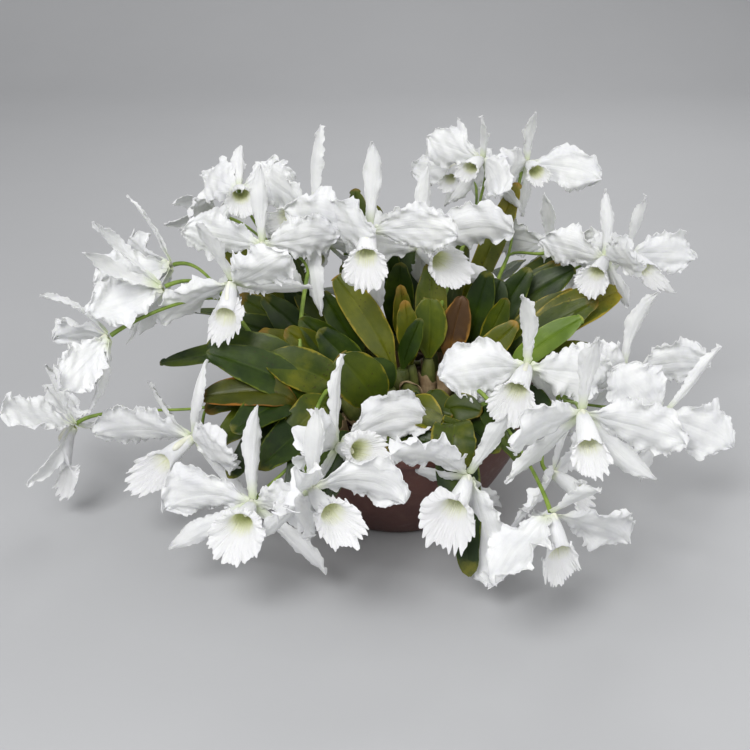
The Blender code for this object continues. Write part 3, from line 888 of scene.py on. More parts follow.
@dataclass
class Lip:
    """The lip: a tube round the column that opens into a frilled trumpet, lower lobe longest."""

    tube: float = 0.036
    throat: float = 0.0115
    mouth: float = 0.0215
    reach: float = 0.050
    drop: float = 0.014
    frill: float = 0.0042
    lower: float = 0.010
    side: float = 0.0
    tilt: float = 0.45
    tilt_side: float = 0.0

    def wall(self, rng: np.random.Generator) -> Array:
        """The lip's middle sheet in the flower's own axes, as (along, around, 3).

        Args:
            rng: Where its frills come from.

        Returns:
            Points, with the first and last at the top.
        """
        a = np.linspace(0, 1, LIP_GRID[0])[:, None]
        turn = np.linspace(-math.pi, math.pi, LIP_GRID[1], endpoint=False)[None]
        below = (1 + np.cos(turn)) / 2
        flare = np.clip((a - 0.50) / 0.50, 0, 1)
        radius = 0.0056 + (self.throat - 0.0056) * np.sin(np.clip(a / 0.62, 0, 1) * math.pi / 2)
        radius = radius + (self.mouth - self.throat) * flare**1.5 + self.lower * 0.75 * below**2 * flare**1.7
        radius = radius + 0.0022 * np.sin(turn) ** 2 * flare**1.5
        opened = np.clip((a - 0.6) / 0.4, 0, 1)
        depth = self.tube * np.minimum(a / 0.6, 1.0) + (self.reach - self.tube) * (1 - (1 - opened) ** 1.7)
        wide = waves(rng, turn / (2 * math.pi) * 4.0, a * 0.4, 1)
        fringe = flare**2.4
        phase = rng.uniform(0, 6.28)
        patchy = waves(rng, turn / (2 * math.pi) * 9.0, a * 0.2, 1)
        scallop = np.sin(turn * 15 + phase + 5.0 * wide) * np.clip(0.7 + 0.9 * patchy, 0.1, 1.5)
        fine = np.tanh(2.0 * waves(rng, turn / (2 * math.pi) * 46.0, a * 0.3, 1))
        rim = np.clip((a - 0.80) / 0.20, 0, 1)
        lift = self.frill * (0.25 * fringe * scallop + 0.8 * rim**1.5 * scallop + 0.9 * fringe * wide)
        lift = lift + 0.0016 * rim**2 * fine
        radius = radius + self.frill * fringe * (0.22 * np.sin(turn * 9 + phase) + 0.2 * wide)
        radius = radius + (0.0011 * fine + 0.0008 * scallop) * rim**2
        bend = (depth / self.reach) ** 1.6
        right, up = radius * np.sin(turn), -radius * np.cos(turn)
        lean = math.atan(self.tilt) * flare**0.8
        swing = math.atan(self.tilt_side) * flare**0.8
        x = right * np.cos(swing) + self.side * bend
        y = up * np.cos(lean) * 0.95 - self.drop * bend
        facing = up * np.sin(lean) + right * np.sin(swing)
        ahead = depth + lift + 0.002 - facing - 0.006 * (1 - below) * flare
        return np.stack(np.broadcast_arrays(x, y, ahead), -1)

    def column(self) -> tuple[Array, Array]:
        """The column that the tube holds.

        Returns:
            Its centre line and its radii.
        """
        share = np.linspace(0, 1, 12)
        path = np.stack([0 * share, 0.0035 - 0.0035 * share**2, 0.001 + 0.027 * share], -1)
        radii = 0.0030 + 0.0012 * np.sin(share * math.pi * 0.8)
        radii[-2:] = (0.0032, 0.0016)
        return path, radii


@dataclass(frozen=True)
class Bend:
    """How one lobe of a particular flower goes, in the words of Lobe."""

    bearing: float
    length: float
    foot: float
    tip: float
    swing: float = 0.0
    width: float = 1.0
    sway: float = 0.0
    twist: float = 0.0


@dataclass
class Flower:
    """One flower: where it faces, how big it is and how its lobes bend.

    Facing, nod and roll are in degrees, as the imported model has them. Bends give single lobes
    a way of their own.
    """

    number: int
    facing: float
    nod: float
    roll: float
    size: float
    bends: dict[Part, Bend] = field(default_factory=dict)
    lip: Lip = field(default_factory=Lip)

    @property
    def node(self) -> str:
        """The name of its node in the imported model."""
        return f"flower_{self.number:02d}"

    def ahead(self) -> Array:
        """The way that it faces.

        Returns:
            That direction, of length one.
        """
        facing, nod = math.radians(self.facing), math.radians(self.nod)
        level = np.array([math.sin(facing), -math.cos(facing), 0.0])
        return level * math.cos(nod) + np.array([0.0, 0.0, math.sin(nod)])

    def axes(self) -> Array:
        """Its right, up and ahead.

        Returns:
            The three directions, as the columns of a matrix.
        """
        facing, roll = math.radians(self.facing), math.radians(self.roll)
        ahead = self.ahead()
        right = np.array([math.cos(facing), math.sin(facing), 0.0])
        up = np.cross(ahead, right)
        across = right * math.cos(roll) - up * math.sin(roll)
        along = up * math.cos(roll) + right * math.sin(roll)
        return np.stack([across, along, ahead], -1)

    def heart(self) -> Array:
        """Where its lobes join, read from the round back of its node.

        Returns:
            That point.
        """
        own = node_points(self.node) @ self.axes()
        middle = np.median(own[:, :2], axis=0)
        near = own[np.linalg.norm(own[:, :2] - middle, axis=1) < 0.012]
        back = near[near[:, 2] < near[:, 2].min() + 0.0004]
        centre = (back.max(0) + back.min(0)) / 2
        centre[2] -= FLOWER_BACK * self.size
        return self.axes() @ centre

    def lobes(self, rng: np.random.Generator) -> dict[Part, Lobe]:
        """Its lobes: the usual flower's, each a little different, with this one's own bends.

        Args:
            rng: Where the small differences come from.

        Returns:
            A lobe for each part.
        """

        def some(spread: float) -> float:
            """A small difference either way."""
            return float(rng.uniform(-spread, spread))

        def petal(bearing: float, side: int) -> Lobe:
            """One of the broad petals.

            Args:
                bearing: The way that it points.
                side: 1 for the right one and -1 for the left one.

            Returns:
                The petal.
            """
            return Lobe(
                bearing + some(5), 0.102, 0.068, (14, -16 + some(14)), swing=-8 * side + some(10),
                twist=(12 * side, some(18)), roll=24, ruffle=PETAL_RUFFLE, droop=PETAL_DROOP, broad=True,
            )

        def sepal(bearing: float) -> Lobe:
            """One of the two lower sepals.

            Args:
                bearing: The way that it points.

            Returns:
                The sepal.
            """
            return Lobe(
                bearing + some(4), 0.098, 0.029, (-2, -24 + some(12)), swing=some(16), sway=some(8),
                twist=(some(8), some(40)), roll=50, ruffle=SEPAL_RUFFLE,
            )

        made = {
            Part.DORSAL: Lobe(
                90, 0.104, 0.027, (8, -14), sway=some(14), swing=some(14),
                twist=(some(8), some(45)), roll=62, ruffle=SEPAL_RUFFLE,
            ),
            Part.RIGHT_PETAL: petal(14, 1),
            Part.LEFT_PETAL: petal(166, -1),
            Part.RIGHT_SEPAL: sepal(-54),
            Part.LEFT_SEPAL: sepal(234),
        }
        for part, bend in self.bends.items():
            lobe = made[part]
            lobe.bearing, lobe.length, lobe.swing = bend.bearing, bend.length, bend.swing
            lobe.rise, lobe.droop = (bend.foot, bend.tip), 0.0
            lobe.width, lobe.sway = lobe.width * bend.width, bend.sway
            lobe.twist = (lobe.twist[0] + bend.twist, lobe.twist[1] + bend.twist)
        return made

    def build(self, finishes: Finishes) -> bpy.types.Object:
        """Makes the flower and lets it stand for its node.

        Args:
            finishes: The plant's finishes.

        Returns:
            The flower's object.
        """
        rng = np.random.default_rng(FLOWER_SEED + self.number)
        axes, heart = self.axes() * self.size, self.heart()
        shape = Shape()
        for lobe in self.lobes(rng).values():
            sheet = lobe.sheet(rng)
            away = np.linalg.norm(sheet, axis=-1) / 0.1
            world = sheet @ axes.T + heart
            world[..., 2] -= lobe.droop * away**2
            edge = 1 - 0.45 * np.abs(np.linspace(-1, 1, sheet.shape[1]))[None]
            shape.add_blade(world, PETAL_THICKNESS * edge * np.ones(sheet.shape[:2]), 0 if lobe.broad else 1)
        shape.add_cup(self.lip.wall(rng) @ axes.T + heart, LIP_THICKNESS, 0, 2)
        path, radii = self.lip.column()
        shape.add_tube(path @ axes.T + heart, radii * self.size, 3, 14)
        tissues = [finishes.petal, finishes.sepal, finishes.lip, finishes.column]
        thing = shape.build(f"bloom_{self.number:02d}", tissues)
        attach(thing, "root")
        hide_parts(self.node)
        return thing


# Every flower's facing, nod, roll and size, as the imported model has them
FLOWERS = (
    Flower(
        1, -70, -40, 0, 1.00,
        {
            Part.DORSAL: Bend(82, 0.099, -21, -27, -8),
            Part.RIGHT_PETAL: Bend(68, 0.113, 11, 17, -12),
            Part.RIGHT_SEPAL: Bend(-20, 0.094, 65, 97, 8),
        },
        Lip(side=0.007, drop=0.042, reach=0.06, tilt=1.07, tilt_side=0.9, mouth=0.019, lower=0.013),
    ),
    Flower(
        2, -50, -10, 0, 1.00,
        {
            Part.DORSAL: Bend(89, 0.103, -9, -37, -10),
            Part.LEFT_PETAL: Bend(158, 0.118, 34, 60, 19, 1.2),
            Part.LEFT_SEPAL: Bend(177, 0.115, 4, -18, -31),
        },
        Lip(side=-0.022, drop=0.030, reach=0.052, tilt=0.9, tilt_side=0.8, mouth=0.028, lower=0.004),
    ),
    Flower(
        3, -100, -20, 0, 1.00,
        {
            Part.DORSAL: Bend(91, 0.102, 6, 12, 0, 0.62, 14),
            Part.LEFT_PETAL: Bend(160, 0.100, 55, 50),
            Part.RIGHT_PETAL: Bend(20, 0.100, 55, 45),
            Part.LEFT_SEPAL: Bend(232, 0.095, 40, 40),
            Part.RIGHT_SEPAL: Bend(-52, 0.095, 40, 50),
        },
    ),
    Flower(
        4, -85, -25, 0, 1.00,
        {
            Part.RIGHT_SEPAL: Bend(59, 0.122, 37, 0, -8),
            Part.DORSAL: Bend(88, 0.119, 23, -1, -27, 0.75, 8),
            Part.LEFT_PETAL: Bend(160, 0.100, 35, 70, 0, 0.85),
            Part.RIGHT_PETAL: Bend(28, 0.100, 65, 30, 0, 0.85),
            Part.LEFT_SEPAL: Bend(232, 0.095, 50, 40),
        },
    ),
    Flower(
        5, -75, -35, 0, 0.95,
        {
            Part.DORSAL: Bend(90, 0.105, -1, 23, -29, 0.75, 8),
            Part.LEFT_PETAL: Bend(165, 0.098, 30, 60, 0, 0.85),
            Part.RIGHT_PETAL: Bend(10, 0.098, 60, 35, 0, 0.85),
            Part.LEFT_SEPAL: Bend(232, 0.095, 45, 45),
            Part.RIGHT_SEPAL: Bend(-52, 0.095, 45, 60),
        },
        Lip(side=-0.005, drop=0.017, reach=0.052, tilt=0.93, tilt_side=0.9, mouth=0.02, lower=0.004),
    ),
    Flower(
        6, -10, -35, -25, 1.00,
        {
            Part.DORSAL: Bend(79, 0.103, -14, 4, -6),
            Part.LEFT_PETAL: Bend(177, 0.102, 8, 38, 6),
        },
        Lip(side=-0.01, drop=0.014, reach=0.042, tilt=2.6, tilt_side=0.3, mouth=0.0235, lower=0.0),
    ),
    Flower(
        7, 0, 0, 0, 0.95,
        {},
        Lip(side=-0.003, drop=0.017, reach=0.052, tilt=0.3, tilt_side=0.08, mouth=0.022, lower=0.004),
    ),
    Flower(
        8, -50, 0, 5, 1.05,
        {
            Part.DORSAL: Bend(96, 0.106, -1, -4, -16, 1.25, 10),
            Part.RIGHT_SEPAL: Bend(-69, 0.122, 21, 0, 11),
        },
        Lip(side=0.0, drop=-0.002, reach=0.046, tilt=0.55, tilt_side=0.9, mouth=0.014, lower=0.004),
    ),
    Flower(
        9, -30, -20, 0, 0.85,
        {
            Part.DORSAL: Bend(86, 0.102, 2, 1, -17),
        },
        Lip(side=0.007, drop=-0.007, reach=0.046, tilt=0.78, tilt_side=0.65, mouth=0.015, lower=0.004),
    ),
    Flower(
        10, -5, 0, 0, 1.05,
        {
            Part.DORSAL: Bend(86, 0.104, -5, 5, 6),
            Part.LEFT_SEPAL: Bend(248, 0.117, 10, -39, 2),
            Part.RIGHT_SEPAL: Bend(-85, 0.116, 11, -27, -4),
        },
        Lip(side=0.0, drop=0.023, reach=0.046, tilt=0.29, tilt_side=0.07, mouth=0.019, lower=0.016),
    ),
    Flower(
        11, 20, 0, 4, 1.05,
        {
            Part.DORSAL: Bend(88, 0.105, -5, -3, -2),
            Part.RIGHT_PETAL: Bend(32, 0.118, 8, 29, -47),
            Part.RIGHT_SEPAL: Bend(-27, 0.119, 17, 10, 12),
            Part.LEFT_SEPAL: Bend(294, 0.098, -35, -29, 12),
        },
        Lip(side=0.018, drop=0.002, reach=0.052, tilt=0.31, tilt_side=-0.35, mouth=0.021, lower=0.012),
    ),
    Flower(
        12, -30, 10, 0, 0.85,
        {
            Part.DORSAL: Bend(80, 0.097, 28, 51, -12),
            Part.RIGHT_PETAL: Bend(-15, 0.104, 41, 46, -41),
        },
        Lip(side=0.0, drop=0.013, reach=0.052, tilt=0.11, tilt_side=0.35, mouth=0.014, lower=0.004),
    ),
    Flower(
        13, -50, 5, -5, 0.80,
        {
            Part.DORSAL: Bend(109, 0.094, -14, -23, 26),
            Part.LEFT_PETAL: Bend(189, 0.102, 17, 18, 7),
        },
        Lip(side=0.018, drop=0.02, reach=0.046, tilt=0.2, tilt_side=0.81, mouth=0.016, lower=0.004),
    ),
    Flower(
        14, 15, 10, 5, 0.90,
        {
            Part.DORSAL: Bend(99, 0.097, 20, 49, 4),
            Part.RIGHT_PETAL: Bend(1, 0.113, 23, 16, -27),
            Part.LEFT_PETAL: Bend(180, 0.101, 45, 51, 31),
            Part.LEFT_SEPAL: Bend(257, 0.095, -44, -45, 14),
            Part.RIGHT_SEPAL: Bend(-72, 0.103, -27, -36, -16),
        },
        Lip(side=0.0, drop=0.01, reach=0.046, tilt=0.08, tilt_side=-0.33, mouth=0.014, lower=0.006),
    ),
    Flower(15, 150, 20, 0, 0.90),
    Flower(
        16, -15, 5, 0, 0.85,
        {
            Part.RIGHT_SEPAL: Bend(-65, 0.101, -15, -32, 0),
            Part.RIGHT_PETAL: Bend(31, 0.098, 58, 55, -13),
        },
        Lip(side=-0.013, drop=0.017, reach=0.052, tilt=0.23, tilt_side=0.04, mouth=0.018, lower=0.016),
    ),
    Flower(
        17, 40, 0, 5, 0.95,
        {
            Part.DORSAL: Bend(90, 0.1, 19, 15, 22),
            Part.RIGHT_PETAL: Bend(6, 0.11, 34, 17, -26),
            Part.RIGHT_SEPAL: Bend(-34, 0.107, 23, 17, -6),
        },
        Lip(side=0.0, drop=0.013, reach=0.052, tilt=0.41, tilt_side=-0.9, mouth=0.014, lower=0.013),
    ),
    Flower(
        18, 35, 0, 15, 1.05,
        {
            Part.DORSAL: Bend(92, 0.109, -16, 28, -8),
            Part.RIGHT_PETAL: Bend(23, 0.109, 14, 34, -18),
        },
        Lip(side=-0.023, drop=0.0, reach=0.046, tilt=0.34, tilt_side=-0.9, mouth=0.015, lower=0.004),
    ),
    Flower(
        19, -15, 10, 0, 1.05,
        {
            Part.DORSAL: Bend(90, 0.1, 13, 36, 12),
            Part.LEFT_PETAL: Bend(177, 0.099, 28, 15, 28),
            Part.RIGHT_PETAL: Bend(-2, 0.097, -4, -44, -19),
            Part.LEFT_SEPAL: Bend(222, 0.122, 13, 15, -34),
            Part.RIGHT_SEPAL: Bend(-57, 0.099, -41, -54, -2),
        },
        Lip(side=-0.007, drop=0.023, reach=0.052, tilt=0.24, tilt_side=0.09, mouth=0.02, lower=0.015),
    ),
    Flower(
        20, 5, -10, 0, 1.05,
        {
            Part.LEFT_PETAL: Bend(171, 0.102, 26, 43, 5),
            Part.RIGHT_PETAL: Bend(5, 0.108, 32, 30, -13),
            Part.LEFT_SEPAL: Bend(231, 0.109, 7, 6, -12),
            Part.RIGHT_SEPAL: Bend(-47, 0.116, 20, 0, 12),
            Part.DORSAL: Bend(89, 0.102, 1, 12, 1),
        },
        Lip(side=0.0, drop=0.015, reach=0.052, tilt=0.66, tilt_side=-0.26, mouth=0.017, lower=0.004),
    ),
    Flower(
        21, -15, -25, 25, 1.00,
        {
            Part.DORSAL: Bend(87, 0.104, -15, -10, 10),
            Part.LEFT_PETAL: Bend(152, 0.108, 5, 30, 25),
            Part.RIGHT_PETAL: Bend(-38, 0.130, 28, 46, -26),
        },
        Lip(side=-0.008, drop=0.014, reach=0.056, tilt=1.2, tilt_side=-0.2, mouth=0.031, lower=0.0),
    ),
    Flower(
        22, 15, -40, 30, 1.00,
        {
            Part.DORSAL: Bend(105, 0.1, 0, 9, 11),
            Part.RIGHT_PETAL: Bend(10, 0.118, 15, 15, -20),
            Part.LEFT_PETAL: Bend(196, 0.108, 30, 45, 20, 1.0, 0, -35),
            Part.LEFT_SEPAL: Bend(266, 0.090, 20, 30),
        },
        Lip(side=0.010, drop=0.012, reach=0.050, tilt=0.9, tilt_side=-0.3, mouth=0.022, lower=0.004),
    ),
    Flower(23, 60, -10, 0, 0.90),
    Flower(
        24, 40, 10, 0, 1.00,
        {
            Part.DORSAL: Bend(82, 0.106, -3, 8, -7),
            Part.LEFT_PETAL: Bend(140, 0.105, 23, 38, 47),
            Part.RIGHT_PETAL: Bend(21, 0.117, 18, 12, -55),
        },
        Lip(side=0.005, drop=-0.007, reach=0.046, tilt=0.4, tilt_side=-0.56, mouth=0.022, lower=0.004),
    ),
    Flower(
        25, 20, -10, 0, 1.00,
        {
            Part.RIGHT_PETAL: Bend(10, 0.107, -2, 34, -59),
            Part.LEFT_PETAL: Bend(124, 0.100, 30, 60, 32),
        },
        Lip(side=0.015, drop=0.005, reach=0.046, tilt=0.76, tilt_side=-0.27, mouth=0.02, lower=0.016),
    ),
    Flower(
        26, -10, 5, 0, 1.00,
        {
            Part.DORSAL: Bend(96, 0.11, -16, -10, -19),
            Part.LEFT_PETAL: Bend(167, 0.106, -1, 3, 58),
            Part.RIGHT_PETAL: Bend(22, 0.106, 17, 53, -56),
            Part.LEFT_SEPAL: Bend(206, 0.122, 19, -19, 22),
            Part.RIGHT_SEPAL: Bend(-41, 0.122, 1, -17, -20),
        },
        Lip(side=-0.003, drop=0.007, reach=0.052, tilt=0.45, tilt_side=0.23, mouth=0.025, lower=0.014),
    ),
    Flower(
        27, 10, 30, 0, 0.90,
        {
            Part.DORSAL: Bend(84, 0.1, -24, -52, -6),
            Part.RIGHT_PETAL: Bend(18, 0.095, -8, -48, -16),
            Part.LEFT_PETAL: Bend(140, 0.095, -29, -75, 7),
        },
        Lip(drop=0.024, tilt=-0.2, mouth=0.018),
    ),
    Flower(
        28, -110, 0, -10, 0.80,
        {
            Part.RIGHT_SEPAL: Bend(-1, 0.106, 31, 26, -8),
            Part.DORSAL: Bend(36, 0.115, 41, -7, -49),
        },
    ),
    Flower(
        29, 20, 0, 40, 1.05,
        {
            Part.RIGHT_PETAL: Bend(18, 0.101, 5, 17, -16),
        },
        Lip(side=-0.03, drop=0.02, reach=0.046, tilt=0.04, tilt_side=-0.78, mouth=0.014, lower=0.004),
    ),
)

# The flowers' numbers on each stalk, by the growth that the stalk leaves
STALKS: dict[str, tuple[int, ...]] = {
    "west": (3, 4, 5, 6),
    "west_front": (1, 2),
    "back_west": (27, 28),
    "west_upper": (7, 8),
    "back_tall": (9, 10, 11),
    "upright": (12, 13),
    "inner_east": (14, 15),
    "back_east": (16, 17),
    "pale_east": (18, 20, 23, 29),
    "front_small": (19, 21, 22),
    "west_inner": (24, 25, 26),
}


# ---------------------------------------------------------------- leaves, bulbs and stalks


def node_points(node: str) -> Array:
    """A node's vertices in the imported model.

    Args:
        node: The node's name.

    Returns:
        The vertices, one a row.
    """
    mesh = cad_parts[node].data
    points = np.empty(len(mesh.vertices) * 3, np.float32)
    mesh.vertices.foreach_get("co", points)
    return points.reshape(-1, 3).astype(float)


def node_rings(node: str) -> list[Array]:
    """The rings of points of a leaf's node, from its foot to its tip.

    Args:
        node: The leaf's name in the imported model.

    Returns:
        Its rings, and last its single tip point.
    """
    points = node_points(node)
    places, index = np.unique(np.round(points, 5), axis=0, return_inverse=True)
    index = index.reshape(-1)
    near: dict[int, set[int]] = {i: set() for i in range(len(places))}
    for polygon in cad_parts[node].data.polygons:
        corners = [int(index[v]) for v in polygon.vertices]
        for corner in corners:
            near[corner].update(corners)
    rhizome = node_points("rhizome")
    gaps = np.array([np.linalg.norm(rhizome - place, axis=1).min() for place in places])
    foot = places[int(gaps.argmin())]
    tip = int(np.linalg.norm(places - foot, axis=1).argmax())
    layers, seen = [{tip}], {tip}
    while layers[-1]:
        ring = {other for one in layers[-1] for other in near[one]} - seen
        seen |= ring
        layers.append(ring)
    return [places[sorted(layer)] for layer in reversed(layers) if layer]


# A leaf's half width along its length, as (share of the length, share of the widest)
LEAF_OUTLINE = ((0, 0.16), (0.14, 0.46), (0.32, 0.86), (0.52, 1.0), (0.75, 0.84), (0.9, 0.54), (1.0, 0.14))


@dataclass
class Leaf:
    """A strap leaf along a line, folded along its midrib and a little wavy at its edges.

    Keel is the depth of its midrib's groove, and nibble how uneven its margin is, in metres.
    """

    name: str
    line: Array
    side: Array
    half_width: Array
    tone: LeafTone
    fold: float = 0.18
    thickness: float = 0.0022
    wave: float = 0.0016
    keel: float = 0.0010
    nibble: float = 0.0007

    @classmethod
    def from_node(cls, node: str, tone: LeafTone) -> Leaf:
        """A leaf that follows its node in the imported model.

        Args:
            node: The leaf's name there.
            tone: Its kind of green.

        Returns:
            The leaf.
        """
        rings = node_rings(node)
        centres = np.array([ring.mean(0) for ring in rings])
        sides, widths = [], []
        for ring, ahead in zip(rings[:-1], np.diff(centres, axis=0)):
            spread = ring - ring.mean(0)
            way = np.linalg.svd(spread)[2][0]
            sides.append(way if not sides or way @ sides[-1] > 0 else -way)
            widths.append(float(np.ptp(spread @ way)) / 2)
        fold = rings[len(rings) // 2]
        middle = len(rings) // 2
        across = (fold - fold.mean(0)) @ sides[middle]
        rim = (fold[across.argmax()] + fold[across.argmin()]) / 2 - fold.mean(0)
        ahead = unit(centres[middle + 1] - centres[middle])
        if rim @ np.cross(sides[middle], ahead) < 0:
            sides = [-way for way in sides]
        sides.append(sides[-1])
        widths.append(widths[-1] * 0.1)
        return cls(node.replace("leaf_", "blade_"), centres, np.array(sides), np.array(widths), tone)

    @classmethod
    def grown(cls, name: str, growth: Growth, tone: LeafTone) -> Leaf:
        """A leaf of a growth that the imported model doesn't hold.

        Args:
            name: The leaf's name.
            growth: Where it stands and where it goes.
            tone: Its kind of green.

        Returns:
            The leaf.
        """
        foot, top = growth.bulb()
        lean = unit(top - foot)
        tip = growth.tip
        bend = top + lean * float(np.linalg.norm(tip - top)) * LEAF_ERECT
        line = bezier((top, bend, bend + (tip - bend) * 0.5, tip), 9)
        facing, nod = math.radians(growth.facing), math.radians(growth.nod)
        face = np.array([math.sin(facing) * math.cos(nod), -math.cos(facing) * math.cos(nod), math.sin(nod)])
        side = units(np.cross(np.gradient(line, axis=0), face))
        share = profile(LEAF_OUTLINE, np.linspace(0, 1, len(line)))
        return cls(name, line, side, share * growth.width / 2, tone)

    def build(self, finishes: Finishes, seed: int) -> bpy.types.Object:
        """Makes the leaf.

        Args:
            finishes: The plant's finishes.
            seed: What its waves come from.

        Returns:
            The leaf's object.
        """
        rng = np.random.default_rng(seed)
        steps, strips = LEAF_GRID
        line = through(self.line, steps)
        side = units(through(self.side, steps))
        ahead = units(np.gradient(line, axis=0))
        side = units(side - ahead * (side * ahead).sum(1, keepdims=True))
        front = np.cross(side, ahead)
        u = np.linspace(0, 1, steps)
        half = np.interp(u, np.linspace(0, 1, len(self.half_width)), self.half_width)
        window = np.hanning(7)
        half = np.convolve(np.pad(half, 3, mode="edge"), window / window.sum(), mode="valid")
        tip = np.clip((1 - u) / 0.10, 0, 1)
        half = np.maximum(half, self.half_width[-2] * 0.85 * (u > 0.9)) * np.sqrt(1 - (1 - tip) ** 2 * 0.985)
        w = np.linspace(-1, 1, strips)
        uu, ww = np.meshgrid(u, w, indexing="ij")
        out = half[:, None] * ww
        rise = self.fold * half[:, None] * np.abs(ww) ** 1.3
        rise = rise - self.keel * np.exp(-((ww / 0.07) ** 2)) * np.minimum(1, (1 - uu) * 8)
        length = float(np.linalg.norm(np.diff(line, axis=0), axis=1).sum())
        rise = rise + self.wave * np.abs(ww) * waves(rng, uu * length / 0.075, ww * 0.5, 2)
        out = out + self.nibble * ww * waves(rng, uu * length / 0.03, ww * 0.2, 1)
        grid = line[:, None] + side[:, None] * out[..., None] + front[:, None] * rise[..., None]
        thick = self.thickness * (1 - 0.6 * np.abs(ww) ** 3) * np.clip((1 - uu) * 12 + 0.35, 0, 1)
        shape = Shape()
        shape.add_blade(grid, thick)
        thing = shape.build(self.name, [finishes.leaves[self.tone]])
        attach(thing, "root")
        return thing


@dataclass
class Growth:
    """A pseudobulb on the bark and the leaf that it carries.

    The foot and the tip are in metres from the bark's middle, but the tip's height is from the
    ground. Facing and nod, in degrees, are the way that the leaf's upper side looks.
    """

    foot_x: float
    foot_y: float
    tip_x: float
    tip_y: float
    tip_z: float
    width: float
    facing: float
    nod: float
    tone: LeafTone
    length: float = BULB_LENGTH

    @property
    def foot(self) -> Array:
        """Where it stands on the bark.

        Returns:
            That point.
        """
        low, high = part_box("potting_bark")
        middle = (low + high) / 2
        return np.array([middle.x + self.foot_x, middle.y + self.foot_y, high.z])

    @property
    def tip(self) -> Array:
        """Where its leaf ends.

        Returns:
            That point.
        """
        low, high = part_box("potting_bark")
        middle = (low + high) / 2
        return np.array([middle.x + self.tip_x, middle.y + self.tip_y, self.tip_z])

    def bulb(self) -> tuple[Array, Array]:
        """The ends of its pseudobulb.

        Returns:
            Its foot and its top.
        """
        out = self.tip - self.foot
        out[2] = 0.0
        slant = BULB_LEAN * min(1.0, float(np.linalg.norm(out)) / FULL_LEAN_REACH)
        return self.foot, self.foot + unit(np.array([0, 0, 1.0]) + unit(out) * slant) * self.length


LEAF_TONES: dict[str, LeafTone] = {
    "west": LeafTone.DARK,
    "west_front": LeafTone.SCORCHED,
    "west_upper": LeafTone.DARK,
    "west_inner": LeafTone.OLIVE,
    "front_broad": LeafTone.OLIVE,
    "long_gold": LeafTone.GOLD,
    "back_west": LeafTone.OLIVE,
    "upright": LeafTone.SPOTTED,
    "inner_east": LeafTone.DARK,
    "pale_east": LeafTone.PALE,
    "back_east": LeafTone.DARK,
    "far_east": LeafTone.GOLD,
    "front_low": LeafTone.OLIVE,
    "front_small": LeafTone.PALE,
    "hanging": LeafTone.OLIVE,
    "back_tall": LeafTone.OLIVE,
    "back_narrow": LeafTone.GOLD,
}

